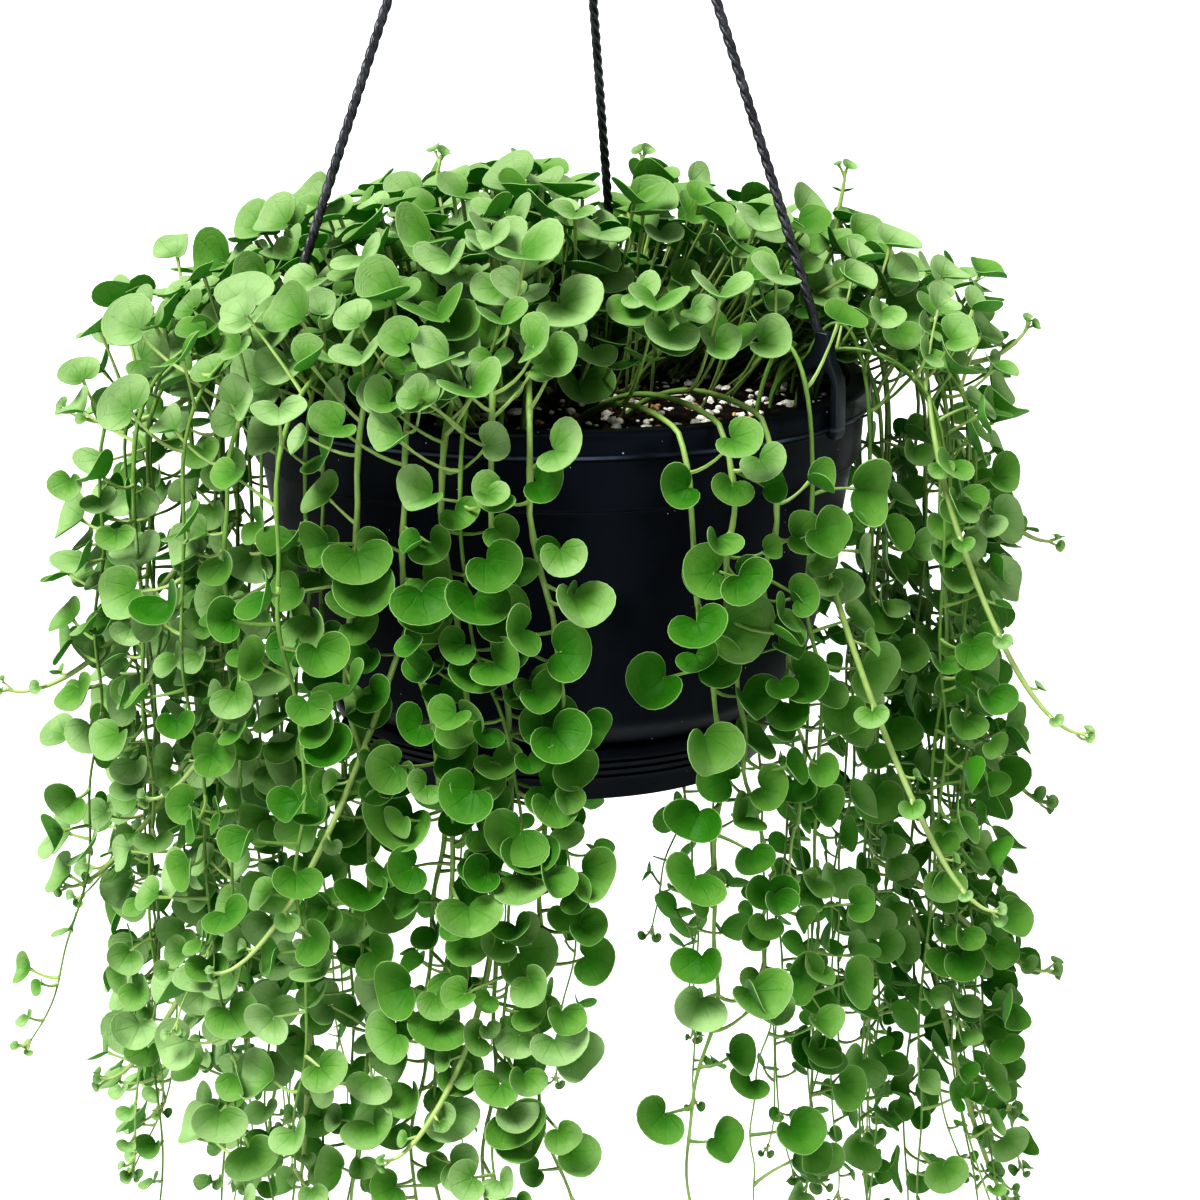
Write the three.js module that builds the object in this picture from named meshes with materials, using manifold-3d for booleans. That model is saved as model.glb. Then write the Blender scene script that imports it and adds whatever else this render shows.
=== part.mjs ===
// Hanging basket planted with green falls dichondra. Millimetres, +Z up.
// The origin is the hook's bearing point. The pot and its plant are built round the centre of
// the rim's top plane, which hangs HANG_HEIGHT below the origin.
import * as THREE from 'three';
import { mergeVertices } from 'three/addons/utils/BufferGeometryUtils.js';
import Module from 'manifold-3d';

const wasm = await Module();
wasm.setup();

// Driving dimensions of the holder
const HANG_HEIGHT = 360;
const RIM_RADIUS = 125;
const RIM_WIDTH = 10;
const BAND_HEIGHT = 9.4;
const WALL = 2.2;
const POT_DEPTH = 128;
const TRAY_RADIUS = 92;
const TRAY_HEIGHT = 24;
const TRAY_WALL = 2;
const GAP = 0.3;
const ROUND = 36;
const MIX_TOP = -6;
const DRAIN_RADIUS = 5;
const DRAIN_CIRCLE = 55;
const STRAND_RADIUS = 2.1;
const STRAND_FOOT = { radius: 121, height: 19 };
const STRAND_HEAD = { radius: 7, height: 312 };
const STRAND_BOW = 1.6;
const STRAND_ANGLES = { right: -33.4, back: 78.3, left: 208.3 };
const CLIP_WIDTH = 7;
const CLIP_ARCH_TOP = 18;
const HUB_RADIUS = 13;
const HUB_BOTTOM = 304;
const HUB_TOP = 322;
const HOOK_RADIUS = 3.2;
const HOOK_INSIDE = 10;

// Driving dimensions of the plant
const STEM_RADIUS = 1.1;
const PETIOLE_RADIUS = 0.85;
const PETIOLE_END = 0.6;
const BLADE_THICKNESS = 0.8;
const ROOT_DEPTH = 10;
const SHOULDER_HEIGHT = -26;
const CORE = { radius: 62, height: 34, forward: 12, plug: 8 };
const CROWN_LEAVES = 72;
const TRIES = 14;
const CLIP_CLEARANCE = 7.5;
const LIGHT_FROM_FRONT = 0.55;

// Trailing stems by sector: azimuths in degrees from +X, how many, and how deep they hang.
const SECTORS = [
  { from: 148, to: 234, stems: 11, drop: 395, reach: [12, 38], leaf: 20 },
  { from: 316, to: 388, stems: 9, drop: 395, reach: [12, 36], leaf: 20 },
  { from: 34, to: 144, stems: 9, drop: 400, reach: [10, 30], leaf: 19 },
];

// The sparse stems in front of the pot, each placed where it hangs.
const FRONT_STEMS = [
  { azimuth: 239, reach: 17, drop: 350, drift: -2, leaf: 21 },
  { azimuth: 246, reach: 12, drop: 330, drift: 1, leaf: 22 },
  { azimuth: 253, reach: 18, drop: 352, drift: 2, leaf: 22 },
  { azimuth: 260, reach: 13, drop: 356, drift: -2, leaf: 23 },
  { azimuth: 266, reach: 17, drop: 325, drift: 5, leaf: 24 },
  { azimuth: 291, reach: 10, drop: 330, drift: 1, leaf: 24 },
  { azimuth: 298, reach: 12, drop: 216, drift: 4, leaf: 22 },
  { azimuth: 305, reach: 15, drop: 172, drift: 6, leaf: 21 },
];

const DEGREE = Math.PI / 180;
const GOLDEN_ANGLE = Math.PI * (3 - Math.sqrt(5));

// Small vector and number helpers
const mix = (a, b, t) => a + (b - a) * t;
const clamp = (t) => Math.min(1, Math.max(0, t));
const smooth = (t) => clamp(t) ** 2 * (3 - 2 * clamp(t));
const plus = (a, b, k = 1) => [a[0] + k * b[0], a[1] + k * b[1], a[2] + k * b[2]];
const dot = (a, b) => a[0] * b[0] + a[1] * b[1] + a[2] * b[2];
const cross = (a, b) => [a[1] * b[2] - a[2] * b[1], a[2] * b[0] - a[0] * b[2], a[0] * b[1] - a[1] * b[0]];
const scaled = (a, k) => [a[0] * k, a[1] * k, a[2] * k];
const unit = (a) => scaled(a, 1 / Math.sqrt(dot(a, a)));
const blend = (...terms) => terms.reduce((sum, [vector, weight]) => plus(sum, vector, weight), [0, 0, 0]);
const UP = [0, 0, 1];
const FRONT = [0, -1, 0];
const outward = (azimuth) => [Math.cos(azimuth), Math.sin(azimuth), 0];
const sideways = (azimuth) => [-Math.sin(azimuth), Math.cos(azimuth), 0];
const polar = (radius, azimuth, z) => [radius * Math.cos(azimuth), radius * Math.sin(azimuth), z];

// A number from 0 to 1 that depends only on its whole-number keys.
function draw(...keys) {
  let hash = 0x9e3779b9;
  for (const key of keys) {
    hash = Math.imul(hash ^ (key + 0x7f4a7c15), 0x85ebca6b);
    hash ^= hash >>> 13;
    hash = Math.imul(hash, 0xc2b2ae35);
    hash ^= hash >>> 16;
  }
  return (hash >>> 0) / 4294967296;
}
const swing = (...keys) => 2 * draw(...keys) - 1;

// The shortest distance between the segments a-b and c-d.
function segmentDistance(a, b, c, d) {
  const u = plus(b, a, -1);
  const v = plus(d, c, -1);
  const w = plus(a, c, -1);
  const uu = dot(u, u);
  const uv = dot(u, v);
  const vv = dot(v, v);
  const uw = dot(u, w);
  const vw = dot(v, w);
  const slant = uu * vv - uv * uv;
  let s = slant > 1e-9 ? clamp((uv * vw - vv * uw) / slant) : 0;
  const t = vv > 1e-9 ? clamp((uv * s + vw) / vv) : 0;
  s = uu > 1e-9 ? clamp((uv * t - uw) / uu) : 0;
  const gap = plus(plus(w, u, s), v, -t);
  return Math.sqrt(dot(gap, gap));
}

// A closed solid from a geometry, with its doubled vertices merged.
function solidOf(geometry) {
  const bare = geometry.clone();
  bare.deleteAttribute('normal');
  bare.deleteAttribute('uv');
  const merged = mergeVertices(bare, 1e-4);
  const corners = merged.index.array;
  const kept = [];
  for (let i = 0; i < corners.length; i += 3) {
    const [a, b, c] = corners.slice(i, i + 3);
    if (a !== b && b !== c && c !== a) kept.push(a, b, c);
  }
  const mesh = new wasm.Mesh({
    numProp: 3,
    vertProperties: merged.attributes.position.array,
    triVerts: Uint32Array.from(kept),
  });
  return new wasm.Manifold(mesh);
}

// A closed geometry from its points and triangles.
function geometryOf(points, triangles) {
  const geometry = new THREE.BufferGeometry();
  geometry.setAttribute('position', new THREE.BufferAttribute(Float32Array.from(points.flat()), 3));
  geometry.setIndex(triangles.flat());
  return geometry;
}

// A round solid from [radius, z] points that start and end on the axis.
function turned(profile, segments = ROUND) {
  const points = profile.map(([radius, z]) => new THREE.Vector2(radius, z));
  return solidOf(new THREE.LatheGeometry(points, segments).rotateX(Math.PI / 2));
}

// A slim rod along a line of points, tapered from one radius to the other, with three sides.
function rod(points, radiusStart, radiusEnd, sides = 3) {
  const rings = [];
  let across = cross(plus(points[1], points[0], -1), [0.31, 0.17, 0.93]);
  for (let i = 0; i < points.length; i++) {
    const before = points[Math.max(i - 1, 0)];
    const after = points[Math.min(i + 1, points.length - 1)];
    const along = unit(plus(after, before, -1));
    across = unit(plus(across, along, -dot(across, along)));
    const over = cross(along, across);
    const radius = mix(radiusStart, radiusEnd, i / (points.length - 1));
    for (let k = 0; k < sides; k++) {
      const turn = (2 * Math.PI * k) / sides;
      rings.push(blend([points[i], 1], [across, radius * Math.cos(turn)], [over, radius * Math.sin(turn)]));
    }
  }
  const triangles = [];
  const last = (points.length - 1) * sides;
  for (let k = 0; k < sides; k++) {
    const next = (k + 1) % sides;
    for (let i = 0; i < last; i += sides) {
      triangles.push([i + k, i + next, i + sides + next]);
      triangles.push([i + k, i + sides + next, i + sides + k]);
    }
    if (k > 0 && k < sides - 1) {
      triangles.push([0, next, k]);
      triangles.push([last, last + k, last + next]);
    }
  }
  return solidOf(geometryOf(rings, triangles));
}

// The pot: a tapered wall with a rim band, a step below it and a floor with drain holes.
const POT_OUTSIDE = [
  [RIM_RADIUS - 2.5, -BAND_HEIGHT],
  [121, -30],
  [118, -31.5],
  [113, -62],
  [104, -100],
  [98, -119],
  [90, -POT_DEPTH],
];

function potInside(inset) {
  const wall = WALL + inset;
  return [
    [RIM_RADIUS - RIM_WIDTH - inset, -4],
    [RIM_RADIUS - RIM_WIDTH - 1 - inset, -31],
    [113 - wall, -62],
    [104 - wall, -100],
    [97 - wall, -119],
    [88 - wall, WALL + inset - POT_DEPTH],
  ];
}

function makePot() {
  const profile = [
    [0, -POT_DEPTH],
    ...POT_OUTSIDE.toReversed(),
    [RIM_RADIUS, -BAND_HEIGHT],
    [RIM_RADIUS, -2],
    [RIM_RADIUS - 1.6, 0],
    [RIM_RADIUS - RIM_WIDTH + 1.4, 0],
    ...potInside(0),
    [0, WALL - POT_DEPTH],
  ];
  let pot = turned(profile);
  for (let i = 0; i < 4; i++) {
    const hole = new THREE.CylinderGeometry(DRAIN_RADIUS, DRAIN_RADIUS, 4 * WALL, 8);
    hole.rotateX(Math.PI / 2);
    hole.translate(...polar(DRAIN_CIRCLE, (i + 0.5) * 90 * DEGREE, -POT_DEPTH));
    pot = pot.subtract(solidOf(hole));
  }
  return pot;
}

// The tray: a dish under the pot's floor, with an upright grooved side.
function makeTray() {
  const top = -POT_DEPTH - GAP;
  const profile = [
    [0, top - TRAY_HEIGHT],
    [TRAY_RADIUS - 10, top - TRAY_HEIGHT],
    [TRAY_RADIUS - 7, top - TRAY_HEIGHT + 8],
    [TRAY_RADIUS - 1, top - 5],
    [TRAY_RADIUS - 4.2, top],
    [TRAY_RADIUS - 6.2, top],
    [TRAY_RADIUS - 7 - TRAY_WALL, top - TRAY_HEIGHT + 8],
    [TRAY_RADIUS - 11 - TRAY_WALL, top - TRAY_HEIGHT + TRAY_WALL],
    [0, top - TRAY_HEIGHT + TRAY_WALL],
  ];
  return turned(profile);
}

// The potting mix fills the pot, with a plain three-sided hole where each stem stands.
function makeMix(roots) {
  const inside = potInside(GAP);
  const profile = [
    [0, inside.at(-1)[1]],
    ...inside.slice(1).toReversed(),
    [inside[0][0] - 0.2, MIX_TOP - 1],
    [0, MIX_TOP],
  ];
  let potting = turned(profile);
  for (const { place, radius, sides } of roots) {
    const [x, y] = place;
    const foot = [x, y, MIX_TOP - ROOT_DEPTH - 1];
    potting = potting.subtract(rod([foot, [x, y, MIX_TOP + 5]], radius, radius, sides));
  }
  return potting;
}

// A strand's centre line from its clip to the hub, bowed slightly outwards.
function strandPoint(azimuth, t) {
  const radius = mix(STRAND_FOOT.radius, STRAND_HEAD.radius, t) + 4 * STRAND_BOW * t * (1 - t);
  return polar(radius, azimuth, mix(STRAND_FOOT.height, STRAND_HEAD.height, t));
}

function makeStrand(azimuth) {
  const steps = 8;
  const route = [];
  for (let i = 0; i <= steps; i++) {
    route.push(strandPoint(azimuth, mix(0.004, 0.994, i / steps)));
  }
  return rod(route, STRAND_RADIUS, STRAND_RADIUS, 6);
}

// The socket that a strand's end stands in, GAP wider and GAP deeper than the strand.
function strandSocket(azimuth, from, to) {
  const ends = [strandPoint(azimuth, from), strandPoint(azimuth, to)];
  return rod(ends, STRAND_RADIUS + GAP, STRAND_RADIUS + GAP, 6);
}

// A clip: a narrow arch over the rim in the radial plane, with a toe under the band.
function makeClip(azimuth) {
  const inner = (RIM_RADIUS - RIM_WIDTH) * Math.cos(Math.PI / ROUND) - GAP;
  const outer = RIM_RADIUS + GAP;
  const leg = 3.4;
  const outline = new THREE.Shape();
  outline.moveTo(inner - leg, MIX_TOP + 0.6);
  outline.lineTo(inner, MIX_TOP + 0.6);
  outline.lineTo(inner, 8);
  outline.absarc((inner + outer) / 2, 8, (outer - inner) / 2, Math.PI, 0, true);
  outline.lineTo(outer, -BAND_HEIGHT - GAP);
  outline.lineTo(outer - 1.6, -BAND_HEIGHT - GAP);
  outline.lineTo(outer - 1.6, -BAND_HEIGHT - 3);
  outline.lineTo(outer + leg, -BAND_HEIGHT - 3);
  outline.lineTo(outer + leg, 6);
  outline.lineTo(outer + leg - 1.5, 13);
  outline.lineTo(STRAND_FOOT.radius + 3.6, CLIP_ARCH_TOP);
  outline.lineTo(STRAND_FOOT.radius, CLIP_ARCH_TOP + 9);
  outline.lineTo(STRAND_FOOT.radius - 7.6, CLIP_ARCH_TOP + 7);
  outline.lineTo(inner - leg + 2, 15);
  outline.lineTo(inner - leg, 8);
  outline.closePath();
  const settings = { depth: CLIP_WIDTH, bevelEnabled: false, curveSegments: 4 };
  const slab = new THREE.ExtrudeGeometry(outline, settings);
  slab.translate(0, 0, -CLIP_WIDTH / 2);
  slab.rotateX(Math.PI / 2);
  slab.rotateZ(azimuth);
  return solidOf(slab).subtract(strandSocket(azimuth, 0, 0.06));
}

// The hub that gathers the strands, with the hook that the basket hangs on.
function makeHook(azimuths) {
  const middle = HANG_HEIGHT - HOOK_INSIDE;
  const bend = HOOK_INSIDE + HOOK_RADIUS;
  const route = [
    [0, 0, HUB_TOP - 8],
    [0, 0, HUB_TOP + 3],
    [-bend * 0.6, 0, HUB_TOP + 12],
    [-bend, 0, middle - 3],
  ];
  for (let turn = 165; turn >= 0; turn -= 33) {
    route.push([bend * Math.cos(turn * DEGREE), 0, middle + bend * Math.sin(turn * DEGREE)]);
  }
  route.push([bend + 1, 0, middle - 7]);
  let hook = rod(route, HOOK_RADIUS, HOOK_RADIUS, 6);
  hook = hook.add(turned([
    [0, HUB_BOTTOM],
    [HUB_RADIUS - 1.5, HUB_BOTTOM],
    [HUB_RADIUS, HUB_BOTTOM + 2],
    [HUB_RADIUS - 2, HUB_BOTTOM + 10],
    [HOOK_RADIUS + 2, HUB_TOP],
    [0, HUB_TOP],
  ], 18));
  for (const azimuth of azimuths) {
    hook = hook.subtract(strandSocket(azimuth, 0.94, 0.997));
  }
  return hook;
}

// A stem at u: 0 at the mix, 1 at its shoulder outside the rim, 2 at its tip.
function stemPoint(stem, u) {
  if (u < 1) {
    const v = 1 - u;
    const weights = [v * v * v, 3 * v * v * u, 3 * v * u * u, u * u * u];
    const radii = [stem.root, stem.root + 4, stem.shoulder, stem.shoulder];
    const heights = [MIX_TOP, MIX_TOP + stem.rise, stem.rise * 1.1, SHOULDER_HEIGHT];
    const radius = weights.reduce((sum, weight, i) => sum + weight * radii[i], 0);
    const z = weights.reduce((sum, weight, i) => sum + weight * heights[i], 0);
    return polar(radius, stem.azimuth + stem.skew * v * v, z);
  }
  const v = u - 1;
  const radius = stem.shoulder + stem.flare * v + stem.kick * v ** 4;
  const wave = stem.wave * Math.sin(v * stem.waves + stem.phase) - stem.wave * Math.sin(stem.phase);
  const azimuth = stem.azimuth + stem.drift * v + wave / stem.shoulder;
  const z = SHOULDER_HEIGHT - (stem.drop + SHOULDER_HEIGHT) * v + stem.lift * v ** 6;
  return polar(radius, azimuth, z);
}

// The numbers of one stem; try moves it clear of those already placed.
function stemOf(index, plan, attempt) {
  const reach = plan.reach + 3 * attempt;
  return {
    index,
    azimuth: (plan.azimuth + 0.7 * attempt * swing(index, 1, attempt)) * DEGREE,
    root: mix(84, 104, draw(index, 2)),
    shoulder: RIM_RADIUS + reach,
    rise: mix(22, 44, draw(index, 3)),
    skew: 5 * DEGREE * swing(index, 4),
    drop: plan.drop,
    flare: plan.flare,
    kick: plan.kick,
    lift: plan.lift,
    drift: plan.drift * DEGREE,
    wave: mix(3, 9, draw(index, 5)),
    waves: mix(4, 9, draw(index, 6)),
    phase: 2 * Math.PI * draw(index, 7),
    leaf: plan.leaf,
  };
}

// Where a stem's leaves stand along it: two in the crown, the rest down to the tip.
function leafStops(stem, hanging) {
  const stops = [0.4, 0.78];
  for (let k = 0; k < hanging; k++) {
    stops.push(1 + 0.985 * ((k + 0.32 + 0.2 * swing(stem.index, 8, k)) / (hanging - 0.48)));
  }
  return stops;
}

// A leaf from its notch, its petiole's foot, and the directions it faces and points to.
function leafFrom(foot, direction, length, normal, heading, width) {
  const notch = plus(foot, direction, length);
  const facing = unit(normal);
  const pointing = unit(plus(heading, facing, -dot(heading, facing)));
  const below = dot(direction, facing);
  const behind = dot(direction, pointing);
  const aside = Math.abs(dot(direction, cross(pointing, facing)));
  const carried = below > 0.08 && behind > -0.1 && below + behind > 0.6 && aside < 0.3 + 0.7 * below;
  return { foot, notch, facing, pointing, width, carried, centre: plus(notch, pointing, 0.22 * width) };
}

// One try at a leaf on a trailing stem: upright in the crown, facing out in the curtain.
function stemLeaf(stem, k, u, attempt) {
  const foot = stemPoint(stem, u);
  const azimuth = Math.atan2(foot[1], foot[0]);
  const crown = smooth((foot[2] + 45) / 55);
  const young = smooth((u - 1.72) / 0.28);
  const side = (k + attempt) % 2 ? 1 : -1;
  const sway = [1, 2, 3, 4, 5, 6].map((axis) => swing(stem.index, 20 + k, axis, attempt));
  const direction = unit(blend(
    [outward(azimuth), mix(0.75, 0.3, crown) + 0.4 * sway[0]],
    [sideways(azimuth), side * (mix(0.85, 0.4, crown) + 0.35 * sway[1])],
    [UP, mix(0.25, 1.1, crown) + 0.3 * sway[2]],
  ));
  const length = mix(mix(10, 6, young), 27, crown) * (1 + 0.3 * sway[3]) + 1.2 * attempt;
  const normal = blend(
    [outward(azimuth + mix(1, 0.5, crown) * sway[4]), mix(0.8, 0.45, crown)],
    [FRONT, LIGHT_FROM_FRONT * (1 - crown) * smooth((60 - foot[1]) / 80)],
    [UP, mix(0.4, 0.95, crown) + 0.2 * sway[5]],
  );
  const heading = blend([direction, 0.6], [outward(azimuth), 0.3 * crown], [UP, mix(-0.5, -0.1, crown)]);
  const width = stem.leaf * (0.98 + 0.16 * sway[5]) * mix(1, 0.45, young);
  return leafFrom(foot, direction, length, normal, heading, width);
}

// One try at a leaf of the crown's middle, on a golden-angle spiral over the core.
function crownLeaf(k, attempt) {
  const azimuth = k * GOLDEN_ANGLE;
  const fall = Math.acos(1 - 0.9 * ((k + 0.5) / CROWN_LEAVES));
  const sway = [1, 2, 3, 4].map((axis) => swing(900, k, axis, attempt));
  const facing = outward(azimuth);
  const foot = blend(
    [facing, 0.84 * CORE.radius * Math.sin(fall)],
    [[0, 1, 0], CORE.forward],
    [UP, MIX_TOP + 1.5 + 0.84 * CORE.height * Math.cos(fall)],
  );
  const direction = unit(blend(
    [facing, Math.sin(fall) + 0.25 * sway[0]],
    [sideways(azimuth), 0.35 * sway[1]],
    [UP, 0.45 + Math.cos(fall)],
  ));
  const length = mix(15, 42, draw(901, k, attempt));
  const normal = blend([facing, 0.5 * Math.sin(fall)], [sideways(azimuth), 0.3 * sway[2]], [UP, 1]);
  const heading = blend([facing, 1], [sideways(azimuth), 0.9 * sway[3]]);
  return leafFrom(foot, direction, length, normal, heading, mix(17, 25, draw(902, k)));
}

// The pot's outer radius at a height, with a little to spare.
const wallRadius = (z) => (z > -12 ? RIM_RADIUS + 2 : RIM_RADIUS + 2.5 + 0.235 * z);

// What has been placed so far: balls round leaves, and slim capsules along stems and petioles.
const balls = [];
const capsules = [];

function clearBall(centre, radius) {
  const z = centre[2];
  const out = Math.hypot(centre[0], centre[1]);
  const beside = z < radius + 2 && z > -TRAY_HEIGHT - POT_DEPTH - radius;
  const overWall = out > RIM_RADIUS - RIM_WIDTH - 7;
  const inMix = z < MIX_TOP + 0.6 * radius;
  if (beside && out < wallRadius(z) + radius && (overWall || inMix)) return false;
  for (const ball of balls) {
    const gap = plus(ball.centre, centre, -1);
    if (dot(gap, gap) < (ball.radius + radius) ** 2) return false;
  }
  for (const { a, b, radius: thick } of capsules) {
    if (segmentDistance(centre, centre, a, b) < radius + thick) return false;
  }
  return true;
}

function clearCapsule(a, b, radius, skip = -1) {
  for (const other of capsules) {
    if (other.stem === skip) continue;
    if (segmentDistance(a, b, other.a, other.b) < radius + other.radius) return false;
  }
  for (const ball of balls) {
    if (segmentDistance(ball.centre, ball.centre, a, b) < radius + ball.radius) return false;
  }
  return true;
}

// Places the first try that is clear of everything, or no leaf.
function placeLeaf(make, stemIndex) {
  for (let attempt = 0; attempt < TRIES; attempt++) {
    const leaf = make(attempt);
    if (!leaf.carried) continue;
    const ball = { centre: leaf.centre, radius: 0.47 * leaf.width + 0.6 };
    if (!clearBall(ball.centre, ball.radius)) continue;
    if (!clearCapsule(leaf.foot, leaf.notch, PETIOLE_RADIUS + 0.4, stemIndex)) continue;
    balls.push(ball);
    capsules.push({ a: leaf.foot, b: leaf.notch, radius: PETIOLE_RADIUS + 0.4, stem: stemIndex });
    return leaf;
  }
  return null;
}

// A kidney-shaped blade's outline from its notch, in widths: across, along and up to its cupped edge.
const BLADE_OUTLINE = [
  [0.27, -0.19, 0.05],
  [0.5, 0.13, 0.1],
  [0.29, 0.56, 0.07],
  [-0.29, 0.56, 0.07],
  [-0.5, 0.13, 0.1],
  [-0.27, -0.19, 0.05],
];
const BLADE_FACES = [[0, 1, 2], [0, 2, 3], [0, 3, 4], [0, 4, 7], [7, 4, 5], [7, 5, 6]];

// Adds a leaf to a mesh: a four-sided petiole from a loop of the mesh's points, and its blade.
function addLeaf(mesh, loop, leaf) {
  const { notch, facing, pointing, width } = leaf;
  const across = cross(pointing, facing);
  const corner = (x, y, z) => blend([notch, 1], [across, x], [pointing, y], [facing, z]);
  const edge = BLADE_OUTLINE.map(([x, y, z]) => [x * width, y * width, z * width]);
  const half = PETIOLE_RADIUS * 0.8;
  const upper = [[half, 0, 0], ...edge, [-half, 0, 0]];
  const lower = [[half, PETIOLE_END * 2, 0], ...edge, [-half, PETIOLE_END * 2, 0]];
  const first = mesh.points.length;
  const count = upper.length;
  mesh.points.push(...upper.map(([x, y, z]) => corner(x, y, z)));
  mesh.points.push(...lower.map(([x, y, z]) => corner(x, y, z - BLADE_THICKNESS)));
  for (const [a, b, c] of BLADE_FACES) {
    mesh.triangles.push([first + a, first + b, first + c]);
    mesh.triangles.push([first + count + a, first + count + c, first + count + b]);
  }
  for (let i = first; i < first + count - 1; i++) {
    mesh.triangles.push([i, count + i, i + 1], [i + 1, count + i, count + i + 1]);
  }
  const last = first + count - 1;
  const mouth = [first, first + count, last + count, last];
  const along = plus(leaf.notch, leaf.foot, -1);
  const spread = (turn) => loop.reduce((sum, point, j) => {
    const far = mesh.points[mouth[(j + turn) % 4]];
    const gap = plus(far, plus(mesh.points[point], along), -1);
    return sum + dot(gap, gap);
  }, 0);
  const turn = [0, 1, 2, 3].reduce((best, next) => (spread(next) < spread(best) ? next : best));
  for (let j = 0; j < 4; j++) {
    const [a, b] = [loop[j], loop[(j + 1) % 4]];
    const [c, d] = [mouth[(j + 1 + turn) % 4], mouth[(j + turn) % 4]];
    mesh.triangles.push([a, b, c], [a, c, d]);
  }
}

// A loose leaf, for the crown: its petiole's foot is closed with a small square.
function looseLeaf(leaf) {
  const mesh = { points: [], triangles: [[0, 3, 2], [0, 2, 1]] };
  const direction = unit(plus(leaf.notch, leaf.foot, -1));
  const side = unit(cross(direction, [0.31, 0.93, 0.17]));
  const over = cross(direction, side);
  for (const [x, y] of [[-1, -1], [1, -1], [1, 1], [-1, 1]]) {
    const r = 0.75 * PETIOLE_RADIUS;
    mesh.points.push(blend([leaf.foot, 1], [side, x * r], [over, y * r]));
  }
  addLeaf(mesh, [0, 1, 2, 3], leaf);
  return solidOf(geometryOf(mesh.points, mesh.triangles));
}

// A stem with its leaves as one mesh: three-sided rings along it, with two at each leaf's foot.
function leafyStem(stem, stops, leaves) {
  const [x, y, top] = stemPoint(stem, 0);
  const line = [{ place: [x, y, top - ROOT_DEPTH] }, { place: [x, y, top] }];
  for (const u of stations(stops)) {
    const place = stemPoint(stem, u);
    const along = unit(plus(stemPoint(stem, u + 0.01), stemPoint(stem, u - 0.01), -1));
    const leaf = leaves.get(u);
    if (leaf) {
      line.push({ place: plus(place, along, -0.8), leaf }, { place: plus(place, along, 0.8) });
    } else {
      line.push({ place });
    }
  }
  const mesh = { points: [], triangles: [[0, 2, 1]] };
  let across = [1, 0, 0];
  const grown = [];
  for (let i = 0; i < line.length; i++) {
    const before = line[Math.max(i - 1, 0)].place;
    const after = line[Math.min(i + 1, line.length - 1)].place;
    const along = unit(plus(after, before, -1));
    across = unit(plus(across, along, -dot(across, along)));
    const over = cross(along, across);
    const radius = STEM_RADIUS * mix(1, 0.7, i / line.length);
    const rays = [0, 1, 2].map((k) => {
      const turn = 120 * k * DEGREE;
      return blend([across, Math.cos(turn)], [over, Math.sin(turn)]);
    });
    mesh.points.push(...rays.map((ray) => plus(line[i].place, ray, radius)));
    if (line[i].leaf) {
      const direction = plus(line[i].leaf.notch, line[i].leaf.foot, -1);
      const away = rays.map((ray) => dot(ray, direction));
      grown.push({ ring: i, side: (away.indexOf(Math.min(...away)) + 1) % 3, leaf: line[i].leaf });
    }
  }
  for (let i = 0; i < line.length - 1; i++) {
    for (let k = 0; k < 3; k++) {
      const next = (k + 1) % 3;
      const loop = [3 * i + k, 3 * i + next, 3 * i + 3 + next, 3 * i + 3 + k];
      const bud = grown.find(({ ring, side }) => ring === i && side === k);
      if (bud) {
        addLeaf(mesh, loop, bud.leaf);
      } else {
        mesh.triangles.push([loop[0], loop[1], loop[2]], [loop[0], loop[2], loop[3]]);
      }
    }
  }
  const end = 3 * (line.length - 1);
  mesh.triangles.push([end, end + 1, end + 2]);
  return solidOf(geometryOf(mesh.points, mesh.triangles));
}

// Every stem's plan, sector by sector, then those in front of the pot.
function stemPlans() {
  const plans = [];
  for (const sector of SECTORS) {
    for (let i = 0; i < sector.stems; i++) {
      const seed = plans.length;
      const outer = i % 2;
      plans.push({
        azimuth: mix(sector.from, sector.to, (i + 0.5 + 0.2 * swing(seed, 30)) / sector.stems),
        reach: sector.reach[outer] + 4 * swing(seed, 31),
        drop: sector.drop * mix(outer ? 0.6 : 0.84, 1, draw(seed, 32)),
        drift: 3 * swing(seed, 33),
        flare: 6 * swing(seed, 34),
        kick: outer ? mix(0, 40, draw(seed, 35)) : 0,
        lift: outer ? mix(0, 16, draw(seed, 36)) : 0,
        leaf: sector.leaf * mix(0.9, 1.1, draw(seed, 37)),
      });
    }
  }
  for (const stem of FRONT_STEMS) {
    plans.push({ flare: 2, kick: 0, lift: 0, ...stem });
  }
  for (const plan of plans) {
    for (const angle of Object.values(STRAND_ANGLES)) {
      const aside = ((plan.azimuth - angle + 540) % 360) - 180;
      if (Math.abs(aside) < CLIP_CLEARANCE) plan.azimuth += Math.sign(aside) * CLIP_CLEARANCE - aside;
    }
  }
  return plans;
}

// Stem stations: at every leaf, and between them where the stem arches over the rim.
function stations(stops) {
  return [0.2, 0.6, 1, ...stops].sort((a, b) => a - b);
}

// Places the stems, keeping each one clear of those before it.
function placeStems() {
  const placed = [];
  for (const [index, plan] of stemPlans().entries()) {
    for (let attempt = 0; attempt < TRIES; attempt++) {
      const stem = stemOf(index, plan, attempt);
      const hanging = Math.round(plan.drop / 74);
      const stops = leafStops(stem, hanging);
      const points = [0, ...stations(stops)].map((u) => stemPoint(stem, u));
      const pairs = points.slice(1).map((point, i) => [points[i], point]);
      const free = pairs.every(([a, b]) => clearCapsule(a, b, STEM_RADIUS + 0.6));
      if (!free && attempt < TRIES - 1) continue;
      for (const [a, b] of pairs) {
        capsules.push({ a, b, radius: STEM_RADIUS + 0.6, stem: index });
      }
      placed.push({ stem, stops, points });
      break;
    }
  }
  return placed;
}

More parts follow.
